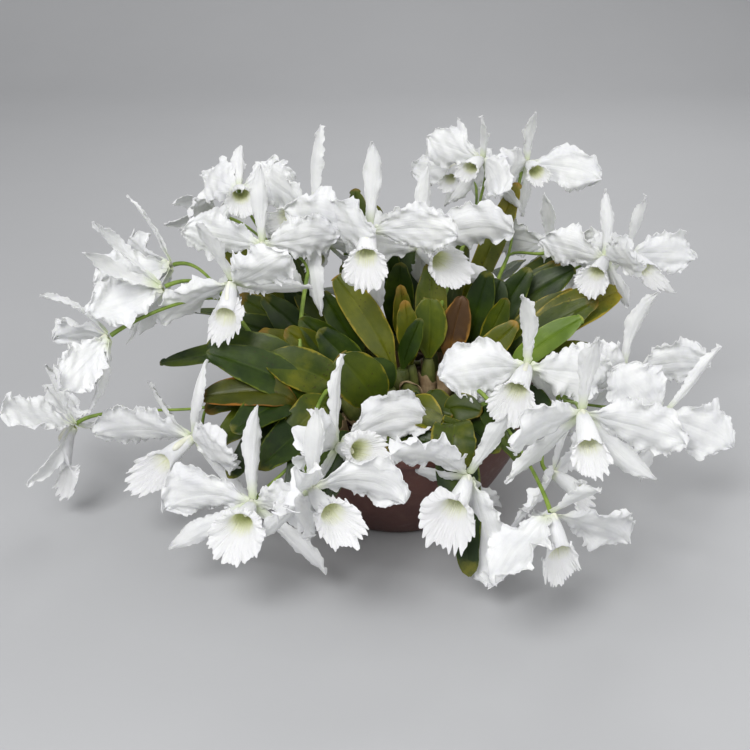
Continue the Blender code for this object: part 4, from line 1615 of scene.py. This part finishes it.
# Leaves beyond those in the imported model
MORE_GROWTHS: dict[str, Growth] = {
    "left_apron": Growth(-0.105, -0.085, -0.192, -0.160, 0.182, 0.050, 0, 60, LeafTone.DARK),
    "left_under": Growth(-0.120, -0.050, -0.231, -0.100, 0.175, 0.045, 0, 60, LeafTone.OLIVE),
    "left_over": Growth(-0.090, -0.050, -0.200, -0.070, 0.214, 0.050, 0, 50, LeafTone.DARK),
    "left_edged": Growth(-0.075, -0.020, -0.172, -0.020, 0.242, 0.045, 0, 45, LeafTone.GOLD),
    "left_rear": Growth(-0.090, 0.020, -0.213, 0.020, 0.244, 0.045, 0, 45, LeafTone.DARK),
    "mid_left": Growth(-0.055, -0.030, -0.138, -0.030, 0.251, 0.046, 0, 40, LeafTone.OLIVE),
    "mid_dark": Growth(-0.030, -0.050, -0.096, -0.050, 0.260, 0.046, 0, 35, LeafTone.DARK),
    "mid_slim": Growth(-0.030, 0.010, -0.095, 0.030, 0.276, 0.036, 0, 30, LeafTone.DARK),
    "mid_green": Growth(-0.075, 0.055, -0.145, 0.060, 0.290, 0.042, 0, 30, LeafTone.DARK),
    "mid_back": Growth(-0.030, 0.070, -0.067, 0.090, 0.292, 0.042, 0, 20, LeafTone.DARK),
    "centre_low": Growth(0.000, -0.060, -0.039, -0.060, 0.222, 0.040, 0, 40, LeafTone.DARK),
    "striped": Growth(0.015, 0.030, 0.004, 0.050, 0.277, 0.028, 0, 20, LeafTone.GOLD),
    "pointed": Growth(0.000, -0.010, 0.029, 0.000, 0.253, 0.026, 0, 30, LeafTone.DARK),
    "east_dark": Growth(0.085, 0.040, 0.116, 0.060, 0.293, 0.042, 0, 25, LeafTone.DARK),
    "east_slim": Growth(0.105, 0.030, 0.139, 0.040, 0.263, 0.032, 0, 25, LeafTone.OLIVE),
    "east_arch": Growth(0.080, -0.020, 0.148, -0.010, 0.252, 0.036, 0, 45, LeafTone.GOLD),
    "east_back": Growth(0.110, 0.090, 0.216, 0.120, 0.280, 0.044, 0, 40, LeafTone.OLIVE),
    "east_mid": Growth(0.120, 0.050, 0.231, 0.060, 0.263, 0.040, 0, 45, LeafTone.GOLD),
    "east_low": Growth(0.120, 0.000, 0.203, 0.000, 0.230, 0.040, 0, 50, LeafTone.DARK),
    "east_hem": Growth(0.130, -0.030, 0.254, -0.030, 0.221, 0.046, 0, 55, LeafTone.OLIVE),
    "front_olive": Growth(0.000, -0.100, 0.047, -0.150, 0.182, 0.045, 0, 50, LeafTone.GOLD),
    "front_right": Growth(0.045, -0.115, 0.097, -0.130, 0.192, 0.035, 0, 40, LeafTone.OLIVE),
    "right_hem": Growth(0.085, -0.105, 0.139, -0.170, 0.148, 0.032, 0, 50, LeafTone.DARK),
    "top_left": Growth(-0.100, 0.090, -0.248, 0.120, 0.336, 0.040, 0, 30, LeafTone.GOLD),
    "top_slim": Growth(0.020, 0.120, -0.027, 0.170, 0.342, 0.030, 0, 20, LeafTone.DARK),
    "front_left_low": Growth(-0.065, -0.095, -0.132, -0.150, 0.166, 0.048, 0, 50, LeafTone.OLIVE),
    "right_under": Growth(0.125, -0.070, 0.195, -0.100, 0.151, 0.036, 0, 60, LeafTone.DARK),
    "front_apron": Growth(-0.020, -0.135, 0.058, -0.165, 0.161, 0.050, 0, 50, LeafTone.DARK, 0.025),
    "front_wide": Growth(0.030, -0.125, -0.013, -0.175, 0.164, 0.046, 0, 50, LeafTone.OLIVE, 0.025),
    "upright_tall": Growth(0.045, 0.045, 0.045, 0.095, 0.290, 0.044, 0, 10, LeafTone.SPOTTED),
    "low_hang": Growth(0.055, -0.140, 0.078, -0.262, 0.054, 0.050, 0, 15, LeafTone.DARK, 0.03),
    "front_hem": Growth(-0.050, -0.135, -0.093, -0.215, 0.112, 0.045, 0, 45, LeafTone.DARK, 0.03),
    "left_hem": Growth(-0.085, -0.110, -0.161, -0.190, 0.150, 0.052, 0, 55, LeafTone.DARK, 0.03),
    "hem_west": Growth(-0.118, -0.062, -0.217, -0.140, 0.152, 0.048, 0, 60, LeafTone.OLIVE, 0.035),
    "hem_west_low": Growth(-0.105, -0.085, -0.200, -0.160, 0.120, 0.046, 0, 60, LeafTone.DARK, 0.03),
    "hem_front_low": Growth(-0.070, -0.120, -0.127, -0.205, 0.122, 0.048, 0, 50, LeafTone.DARK, 0.03),
    "hem_right": Growth(0.075, -0.118, 0.115, -0.170, 0.161, 0.036, 0, 50, LeafTone.DARK, 0.03),
    "dry_brown": Growth(0.060, 0.012, 0.083, 0.035, 0.268, 0.040, 0, 15, LeafTone.DRY),
    "centre_back": Growth(0.000, 0.090, 0.005, 0.100, 0.288, 0.042, 0, 20, LeafTone.DARK),
    "centre_rust": Growth(0.020, 0.000, 0.009, 0.020, 0.269, 0.030, 0, 20, LeafTone.GOLD),
    "west_wide": Growth(-0.100, -0.070, -0.193, -0.100, 0.192, 0.052, 0, 55, LeafTone.DARK),
    "left_high": Growth(-0.085, 0.035, -0.203, 0.050, 0.262, 0.044, 0, 40, LeafTone.OLIVE),
    "left_fill": Growth(-0.070, 0.010, -0.169, 0.020, 0.274, 0.044, 0, 38, LeafTone.DARK),
    "left_steep": Growth(-0.085, -0.095, -0.226, -0.090, 0.250, 0.052, 0, 50, LeafTone.DARK),
    "mid_fill": Growth(-0.040, -0.020, -0.120, -0.020, 0.262, 0.042, 0, 35, LeafTone.DARK),
    "east_fill": Growth(0.130, 0.020, 0.253, 0.030, 0.265, 0.044, 0, 45, LeafTone.OLIVE),
    "east_tall": Growth(0.100, 0.065, 0.173, 0.090, 0.284, 0.042, 0, 30, LeafTone.DARK),
    "back_mid": Growth(0.010, 0.110, 0.030, 0.190, 0.320, 0.042, 0, 30, LeafTone.DARK),
    "back_left": Growth(-0.080, 0.100, -0.160, 0.180, 0.320, 0.042, 0, 30, LeafTone.OLIVE),
    "back_right": Growth(0.110, 0.110, 0.250, 0.200, 0.270, 0.042, 0, 40, LeafTone.OLIVE),
    "rear_low": Growth(0.000, 0.140, 0.010, 0.300, 0.235, 0.046, 180, 45, LeafTone.DARK),
    "rear_left": Growth(-0.090, 0.120, -0.180, 0.270, 0.240, 0.046, 200, 45, LeafTone.OLIVE),
    "rear_right": Growth(0.090, 0.130, 0.190, 0.280, 0.220, 0.044, 160, 45, LeafTone.DARK),
    "rear_hem_left": Growth(-0.050, 0.145, -0.110, 0.290, 0.170, 0.046, 190, 60, LeafTone.DARK),
    "rear_hem_right": Growth(0.050, 0.150, 0.090, 0.310, 0.165, 0.044, 170, 60, LeafTone.OLIVE),
    "rear_up_left": Growth(-0.040, 0.100, -0.060, 0.210, 0.290, 0.044, 185, 30, LeafTone.DARK),
    "rear_up_right": Growth(0.060, 0.100, 0.100, 0.210, 0.285, 0.044, 175, 30, LeafTone.OLIVE),
    "far_west_rear": Growth(-0.130, 0.060, -0.290, 0.110, 0.215, 0.044, 230, 60, LeafTone.DARK),
    "far_east_rear": Growth(0.135, 0.080, 0.290, 0.130, 0.215, 0.044, 130, 60, LeafTone.DARK),
}


# A pseudobulb's radius along its length, as (share of the length, metres)
BULB_OUTLINE = ((0.0, 0.0050), (0.25, 0.0088), (0.6, 0.0108), (0.88, 0.0086), (1.0, 0.0060))


@dataclass
class Bulb:
    """A pseudobulb: a ribbed club, its rings of scars and the dry husk round its lower half."""

    name: str
    foot: Array
    top: Array
    seed: int
    scars: tuple[float, float, float] = (0.22, 0.48, 0.74)
    ribs: float = 0.035

    def add(self, shape: Shape, bulb_slot: int, husk_slot: int) -> None:
        """Adds the bulb and its husk to a shape.

        Args:
            shape: What it is added to.
            bulb_slot: The number of the bulb's finish.
            husk_slot: The number of the husk's finish.
        """
        rng = random.Random(self.seed)
        share = np.linspace(0, 1, BULB_RINGS)
        path = self.foot + np.outer(share, self.top - self.foot)
        radii = profile(BULB_OUTLINE, share) * rng.uniform(0.85, 1.05)
        for ring in self.scars:
            radii = radii * (1 + 0.05 * np.exp(-(((share - ring) / 0.02) ** 2)))
        shape.add_tube(path, radii, bulb_slot, 24, self.ribs)
        ahead = unit(self.top - self.foot)
        one = unit(np.cross(ahead, [0.2, 0.9, 0.1]))
        two = np.cross(ahead, one)
        a = np.linspace(0, 1, HUSK_GRID[0])[:, None]
        turn = np.linspace(-math.pi, math.pi, HUSK_GRID[1], endpoint=False)[None] + rng.uniform(0, 6)
        height = a * (0.50 + 0.16 * np.sin(turn + rng.uniform(0, 6)) + 0.05 * np.sin(5 * turn))
        radius = profile(BULB_OUTLINE, np.clip(height, 0, 1)) * 1.12 + 0.0012 * a**3 * np.sin(3 * turn + 1)
        centre = self.foot + height[..., None] * (self.top - self.foot)
        wall = centre + (radius * np.cos(turn))[..., None] * one + (radius * np.sin(turn))[..., None] * two
        shape.add_cup(wall, HUSK_THICKNESS, husk_slot)


@dataclass
class Clump:
    """The creeping stem, its pseudobulbs, their husks and the roots that run over the bark."""

    stem: float = 0.0042
    stem_rise: float = 0.003
    root: float = 0.0017
    roots: int = 46
    root_step: float = 0.010

    def build(self, bulbs: list[Bulb], finishes: Finishes) -> None:
        """Makes the clump from its bulbs and lets it stand for the rhizome's node.

        Args:
            bulbs: Every pseudobulb of the plant.
            finishes: The plant's finishes.
        """
        shape = Shape()
        for bulb in bulbs:
            bulb.add(shape, 0, 1)
        raised = [bulb.foot + [0, 0, self.stem_rise] for bulb in bulbs]
        feet = sorted(raised, key=lambda foot: float(np.hypot(foot[0], foot[1])))
        for number, foot in enumerate(feet[1:], 1):
            parent = min(feet[:number], key=lambda older: float(np.linalg.norm(older - foot)))
            middle = (foot + parent) / 2 + [0, 0, self.stem_rise]
            path = through(np.array([foot, middle, parent]), STEM_RINGS)
            ridged = self.stem * (1 + 0.12 * np.sin(np.arange(STEM_RINGS) * 2.1))
            shape.add_tube(path, ridged, 0, 12)
        thing = shape.build("clump", [finishes.bulb, finishes.husk])
        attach(thing, "root")
        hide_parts("rhizome")
        self.build_roots(bulbs, finishes)

    def build_roots(self, bulbs: list[Bulb], finishes: Finishes) -> None:
        """Makes the thick pale roots that wander over the bark.

        Args:
            bulbs: The bulbs that they leave.
            finishes: The plant's finishes.
        """
        rng = random.Random(ROOTS_SEED)
        low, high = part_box("potting_bark")
        edge = (high.x - low.x) / 2 * 0.93
        shape = Shape()
        for _ in range(self.roots):
            start = rng.choice(bulbs).foot
            heading = rng.uniform(0, 2 * math.pi)
            at = np.array([start[0], start[1], high.z + 0.003])
            line = [at]
            for _ in range(9):
                heading += rng.uniform(-0.6, 0.6)
                at = at + np.array([math.cos(heading), math.sin(heading), 0.0]) * self.root_step
                if np.hypot(at[0], at[1]) > edge:
                    break
                at[2] = high.z + rng.uniform(-0.0015, 0.0045)
                line.append(at)
            if len(line) < 4:
                continue
            line[-1] = line[-1] - [0, 0, 0.006]
            path = through(np.array(line), 6 * len(line))
            shape.add_tube(path, self.root * rng.uniform(0.7, 1.3) * np.ones(len(path)), 0, 9)
        thing = shape.build("roots", [finishes.root])
        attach(thing, "root")


# A sheath's half width along its length, as (share of the length, share of the widest)
SHEATH_OUTLINE = ((0, 0.5), (0.3, 1.0), (0.7, 0.9), (1.0, 0.55))


@dataclass
class Stalk:
    """A flower spike: it leaves a bulb's top, forks behind its flowers and ends in each back."""

    number: int
    root: Array
    lean: Array
    flowers: list[Flower]
    radius: float = 0.0026
    pedicel: float = 0.0019
    joints: tuple[float, float] = (0.35, 0.8)

    def build(self, finishes: Finishes) -> bpy.types.Object:
        """Makes the stalk and lets it stand for its node.

        Args:
            finishes: The plant's finishes.

        Returns:
            The stalk's object.
        """
        hearts = [flower.heart() for flower in self.flowers]
        backs = [heart - flower.ahead() * FORK_SETBACK for heart, flower in zip(hearts, self.flowers)]
        fork = np.mean(backs, axis=0)
        fork = fork + (self.root - fork) * FORK_DROP
        bend = self.root + self.lean * SPIKE_RISE
        arrival = unit(fork - bend)
        shape = Shape()
        path = bezier((self.root, bend, fork - arrival * 0.02, fork + arrival * 0.001), STALK_RINGS)
        share = np.linspace(0, 1, len(path))
        radii = self.radius * np.linspace(1.1, 0.95, len(path))
        for joint in self.joints:
            radii = radii * (1 + 0.22 * np.exp(-(((share - joint) / 0.025) ** 2)))
        shape.add_tube(path, radii, 0, 14)
        self.add_sheath(shape, path)
        for heart, flower in zip(hearts, self.flowers):
            ahead = flower.ahead()
            back = heart + ahead * (FLOWER_BACK * flower.size * 0.5)
            reach = min(0.035, 0.4 * float(np.linalg.norm(back - fork)))
            path = bezier((fork, fork + arrival * reach, back - ahead * reach, back), PEDICEL_RINGS)
            share = np.linspace(0, 1, len(path))
            radii = self.pedicel * (1 + 0.45 * share**2 - 0.1 * np.sin(share * math.pi))
            shape.add_tube(path, radii, 0, 12, 0.05)
        thing = shape.build(f"stalk_{self.number:02d}", [finishes.stalk, finishes.husk])
        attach(thing, "root")
        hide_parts(f"spike_{self.number:02d}")
        return thing

    def add_sheath(self, shape: Shape, path: Array) -> None:
        """Adds the flat papery sheath that the stalk grew through.

        Args:
            shape: What it is added to.
            path: The stalk's centre line.
        """
        line = path[:9]
        ahead = units(np.gradient(line, axis=0))
        side = units(np.cross(ahead, [0.25, 0.95, 0.1]))
        other = np.cross(ahead, side)
        turn = np.linspace(-math.pi, math.pi, 20, endpoint=False)
        a = np.linspace(0, 1, len(line))
        wide = profile(SHEATH_OUTLINE, a) * self.radius * 3.0
        flat = np.maximum(wide * 0.42, self.radius * 1.25)
        grid = line[:, None] + side[:, None] * (wide[:, None] * np.cos(turn))[..., None]
        grid = grid + other[:, None] * (flat[:, None] * np.sin(turn))[..., None]
        shape.add_cup(grid, SHEATH_THICKNESS, 1)


# ---------------------------------------------------------------- pot and bark


@dataclass
class Pot:
    """The turned plastic bowl: a rolled rim, a step under it, a foot ring and drain holes."""

    wall: float = 0.003
    rim_depth: float = 0.012
    rim_proud: float = 0.006
    roundness: float = 1.6
    turns: int = 160
    base: float = 0.100
    floor: float = 0.005
    pinhole: float = 0.0003
    holes: int = 6
    hole_radius: float = 0.007
    hole_circle: float = 0.065

    def build(self, finishes: Finishes) -> bpy.types.Object:
        """Makes the pot and lets it stand for its node.

        Args:
            finishes: The plant's finishes.

        Returns:
            The bowl's object.
        """
        low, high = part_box("pot")
        rim, height = (high.x - low.x) / 2, high.z
        base = self.base

        def outer(z: float) -> float:
            """The wall's outer radius at a height."""
            return base + (rim - self.rim_proud - base) * (1 - (1 - z / height) ** self.roundness)

        levels = np.linspace(0.03, 0.90, 22) * height
        lines = [(outer(z) - self.wall, float(z)) for z in levels]
        top = [
            (rim - self.rim_proud - self.wall, height - 0.002),
            (rim - self.rim_proud - self.wall + 0.001, height - 0.0004),
            (rim - self.rim_proud, height),
            (rim - 0.0025, height - 0.0003),
            (rim - 0.0006, height - 0.002),
            (rim, height - 0.005),
            (rim, height - self.rim_depth + 0.003),
            (rim - 0.001, height - self.rim_depth + 0.0005),
            (rim - 0.003, height - self.rim_depth),
            (rim - self.rim_proud + 0.0008, height - self.rim_depth + 0.001),
        ]
        back = [(outer(float(z)) + 0.0002 * math.sin(z * 900), float(z)) for z in levels[::-1]]
        foot = [(base - 0.001, 0.0022), (base - 0.003, 0.0003), (base - 0.005, 0.0), (self.pinhole, 0.0)]
        floor = [(away, self.floor) for away in (self.pinhole, 0.6 * base, base - 2 * self.wall)]
        section = np.array([*floor, *lines, *top, *back, *foot])
        turn = np.linspace(0, 2 * math.pi, self.turns, endpoint=False)
        radius, z = section[:, 0][:, None], section[:, 1][:, None]
        grid = np.stack(np.broadcast_arrays(radius * np.cos(turn), radius * np.sin(turn), z), -1)
        count, around = grid.shape[:2]
        index = np.arange(count * around).reshape(count, around)
        right = np.roll(index, -1, axis=1)
        after = np.roll(index, -1, axis=0)
        faces = np.stack([index, after, np.roll(right, -1, axis=0), right], -1).reshape(-1, 4)
        v = np.repeat(np.linspace(0, 1, count), around)
        maps = np.stack([np.tile(np.abs(np.linspace(-1, 1, around)), count), v], -1)
        shape = Shape()
        shape.add(grid.reshape(-1, 3), maps, list(map(tuple, faces.tolist())), 0)
        thing = shape.build("pot_bowl", [finishes.pot], 35)
        self.drill(thing, finishes)
        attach(thing, "root")
        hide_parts("pot")
        return thing

    def drill(self, bowl: bpy.types.Object, finishes: Finishes) -> None:
        """Cuts the drain holes through the bowl's floor.

        Args:
            bowl: The bowl.
            finishes: The plant's finishes.
        """
        shape = Shape()
        for turn in np.linspace(0, 2 * math.pi, self.holes, endpoint=False):
            middle = self.hole_circle * np.array([math.cos(turn), math.sin(turn), 0.0])
            path = middle + np.array([[0, 0, -0.006], [0, 0, 0.004], [0, 0, 0.014]])
            shape.add_tube(path, np.full(3, self.hole_radius), 0, 24)
        drills = shape.build("pot_drills", [finishes.pot], 35)
        cut = bowl.modifiers.new("drain_holes", "BOOLEAN")
        cut.object = drills
        cut.solver = "EXACT"
        with bpy.context.temp_override(object=bowl, active_object=bowl, selected_objects=[bowl]):
            bpy.ops.object.modifier_apply(modifier=cut.name)
        bpy.data.objects.remove(drills)


@dataclass
class Bark:
    """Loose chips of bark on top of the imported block."""

    chips: int = 520
    size: float = 0.0085
    worn: float = 0.0009

    def build(self, finishes: Finishes) -> None:
        """Makes the chips, and gives the block beneath them the same finish.

        Args:
            finishes: The plant's finishes.
        """
        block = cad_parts["potting_bark"]
        block.data.materials[0] = finishes.bark
        low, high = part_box("potting_bark")
        reach = (high.x - low.x) / 2 * 0.97
        rng = np.random.default_rng(CHIPS_SEED)
        shape = Shape()
        cube = np.array([(x, y, z) for x in (-1, 1) for y in (-1, 1) for z in (-1, 1)], float)
        sides = [(0, 1, 3, 2), (4, 6, 7, 5), (0, 4, 5, 1), (2, 3, 7, 6), (0, 2, 6, 4), (1, 5, 7, 3)]
        for _ in range(self.chips):
            away, turn = reach * math.sqrt(rng.uniform(0, 1)), rng.uniform(0, 2 * math.pi)
            rise = high.z - 0.002 + rng.uniform(-0.002, 0.004)
            centre = np.array([away * math.cos(turn), away * math.sin(turn), rise])
            half = self.size * rng.uniform(0.5, 1.3)
            half = half * np.array([1.0, rng.uniform(0.5, 0.9), rng.uniform(0.25, 0.5)])
            points = cube * half * rng.uniform(0.7, 1.15, (8, 3))
            a, b = rng.uniform(0, 6.28), rng.uniform(-0.6, 0.6)
            flat = np.array([[math.cos(a), -math.sin(a), 0], [math.sin(a), math.cos(a), 0], [0, 0, 1]])
            tilt = np.array([[1, 0, 0], [0, math.cos(b), -math.sin(b)], [0, math.sin(b), math.cos(b)]])
            points = points @ (flat @ tilt).T + centre
            shape.add(points, np.zeros((8, 2)), sides, 0)
        thing = shape.build("bark_chips", [finishes.bark], 30)
        bevel = thing.modifiers.new("Worn", "BEVEL")
        bevel.width = self.worn
        bevel.segments = 2
        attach(thing, "root")


# ---------------------------------------------------------------- stage


@dataclass
class Stage:
    """The plain pale floor, the soft studio light and the camera."""

    distance: float = 1.5
    elevation: float = 27.0
    aim: tuple[float, float, float] = (-0.028, 0.0, 0.174)
    focal: float = 56.64
    sky: Colour = (0.90, 0.90, 0.91)
    sky_strength: float = 0.50
    lamp_aim: tuple[float, float, float] = (0.0, 0.0, 0.2)
    floor_half: float = 5.0
    floor_front: float = -4.0
    floor_back: float = 2.2
    backdrop_curve: float = 1.2
    backdrop_top: float = 6.0
    floor_dark: Colour = (0.46, 0.465, 0.475)
    floor_light: Colour = (0.49, 0.495, 0.505)

    def build(self) -> None:
        """Makes the floor, the lamps, the sky and the camera."""
        self.floor()
        self.lamp("key", (-0.9, -1.9, 2.4), 1.3, 62.0)
        self.lamp("fill", (1.9, -1.4, 1.4), 1.8, 17.0)
        self.lamp("rim", (0.5, 1.9, 1.9), 1.2, 18.0)
        world = bpy.data.worlds.new("studio")
        world.use_nodes = True
        sky = world.node_tree.nodes["Background"]
        sky.inputs["Color"].default_value = (*self.sky, 1.0)
        sky.inputs["Strength"].default_value = self.sky_strength
        bpy.context.scene.world = world
        bpy.context.scene.view_settings.view_transform = "Standard"
        self.camera()

    def floor(self) -> None:
        """A wide pale floor that turns up into a backdrop."""
        shape = Shape()
        back, curve = self.floor_back, self.backdrop_curve
        run = [(self.floor_front, 0.0), (back, 0.0)]
        for turn in np.linspace(0.1, math.pi / 2, 12):
            run.append((back + curve * math.sin(turn), curve - curve * math.cos(turn)))
        run.append((back + curve, self.backdrop_top))
        points = np.array([(x, y, z) for y, z in run for x in (-self.floor_half, self.floor_half)], float)
        faces = [(2 * i, 2 * i + 1, 2 * i + 3, 2 * i + 2) for i in range(len(run) - 1)]
        shape.add(points, np.zeros((len(points), 2)), faces, 0)
        board = Board("floor_paint")
        colour = board.mix(board.noise(3.0, 3.0), self.floor_dark, self.floor_light)
        paint = board.done(colour, 0.7, board.bump(board.noise(80.0), 0.0004, 0.3))
        floor = shape.build("floor", [paint], 80)

    def lamp(self, name: str, place: tuple[float, float, float], size: float, power: float) -> None:
        """A square soft lamp aimed at the plant.

        Args:
            name: The lamp's name.
            place: Where it hangs.
            size: The length of its side.
            power: Its watts.
        """
        light = bpy.data.lights.new(name, "AREA")
        light.size = size
        light.energy = power
        thing = bpy.data.objects.new(name, light)
        thing.location = place
        way = Vector(self.lamp_aim) - Vector(place)
        thing.rotation_euler = way.to_track_quat("-Z", "Y").to_euler()
        bpy.context.scene.collection.objects.link(thing)

    def camera(self) -> None:
        """The camera, a little above the plant."""
        camera = bpy.data.cameras.new("camera")
        camera.lens = self.focal
        camera.sensor_width = 36.0
        thing = bpy.data.objects.new("camera", camera)
        rise = math.radians(self.elevation)
        away = Vector((0.0, -math.cos(rise), math.sin(rise))) * self.distance
        thing.location = Vector(self.aim) + away
        thing.rotation_euler = (-away).to_track_quat("-Z", "Y").to_euler()
        bpy.context.scene.collection.objects.link(thing)
        bpy.context.scene.camera = thing


# ---------------------------------------------------------------- the whole


def build_leaves(finishes: Finishes) -> list[Bulb]:
    """Makes every leaf.

    Args:
        finishes: The plant's finishes.

    Returns:
        The bulbs that carry them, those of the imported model's leaves first.
    """
    bulbs = []
    for seed, (name, tone) in enumerate(LEAF_TONES.items(), 1):
        leaf = Leaf.from_node(f"leaf_{name}", tone)
        thing = leaf.build(finishes, seed)
        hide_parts(f"leaf_{name}")
        lean = unit(leaf.line[1] - leaf.line[0])
        top = leaf.line[0] - lean * 0.0012
        bulbs.append(Bulb(name, top - lean * BULB_LENGTH, top, seed))
        LOG.info("leaf %s", name)
    for seed, (name, growth) in enumerate(MORE_GROWTHS.items(), MORE_LEAVES_SEED):
        Leaf.grown(f"blade_{name}", growth, growth.tone).build(finishes, seed)
        bulbs.append(Bulb(name, *growth.bulb(), seed))
        LOG.info("leaf %s", name)
    return bulbs


def build_stalks(bulbs: list[Bulb], finishes: Finishes) -> None:
    """Makes every flower spike.

    Args:
        bulbs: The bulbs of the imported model's leaves.
        finishes: The plant's finishes.
    """
    by_name = {bulb.name: bulb for bulb in bulbs}
    by_number = {flower.number: flower for flower in FLOWERS}
    for number, (name, numbers) in enumerate(STALKS.items(), 1):
        bulb = by_name[name]
        lean = unit(bulb.top - bulb.foot)
        points = node_points(f"spike_{number:02d}")
        near = points[np.argsort(np.linalg.norm(points - bulb.top, axis=1))[:12]]
        root = near.mean(0)
        Stalk(number, root, lean, [by_number[one] for one in numbers]).build(finishes)
        LOG.info("stalk %02d", number)


def main() -> None:
    """Builds the plant, its pot and the stage, in order."""
    logging.basicConfig(level=logging.INFO, format="%(name)s: %(message)s")
    finishes = Finishes()
    Pot().build(finishes)
    LOG.info("pot")
    Bark().build(finishes)
    LOG.info("bark")
    bulbs = build_leaves(finishes)
    Clump().build(bulbs, finishes)
    LOG.info("clump and roots")
    build_stalks(bulbs, finishes)
    for flower in FLOWERS:
        flower.build(finishes)
        LOG.info("flower %02d", flower.number)
    Stage().build()


if __name__ == "__main__":
    main()
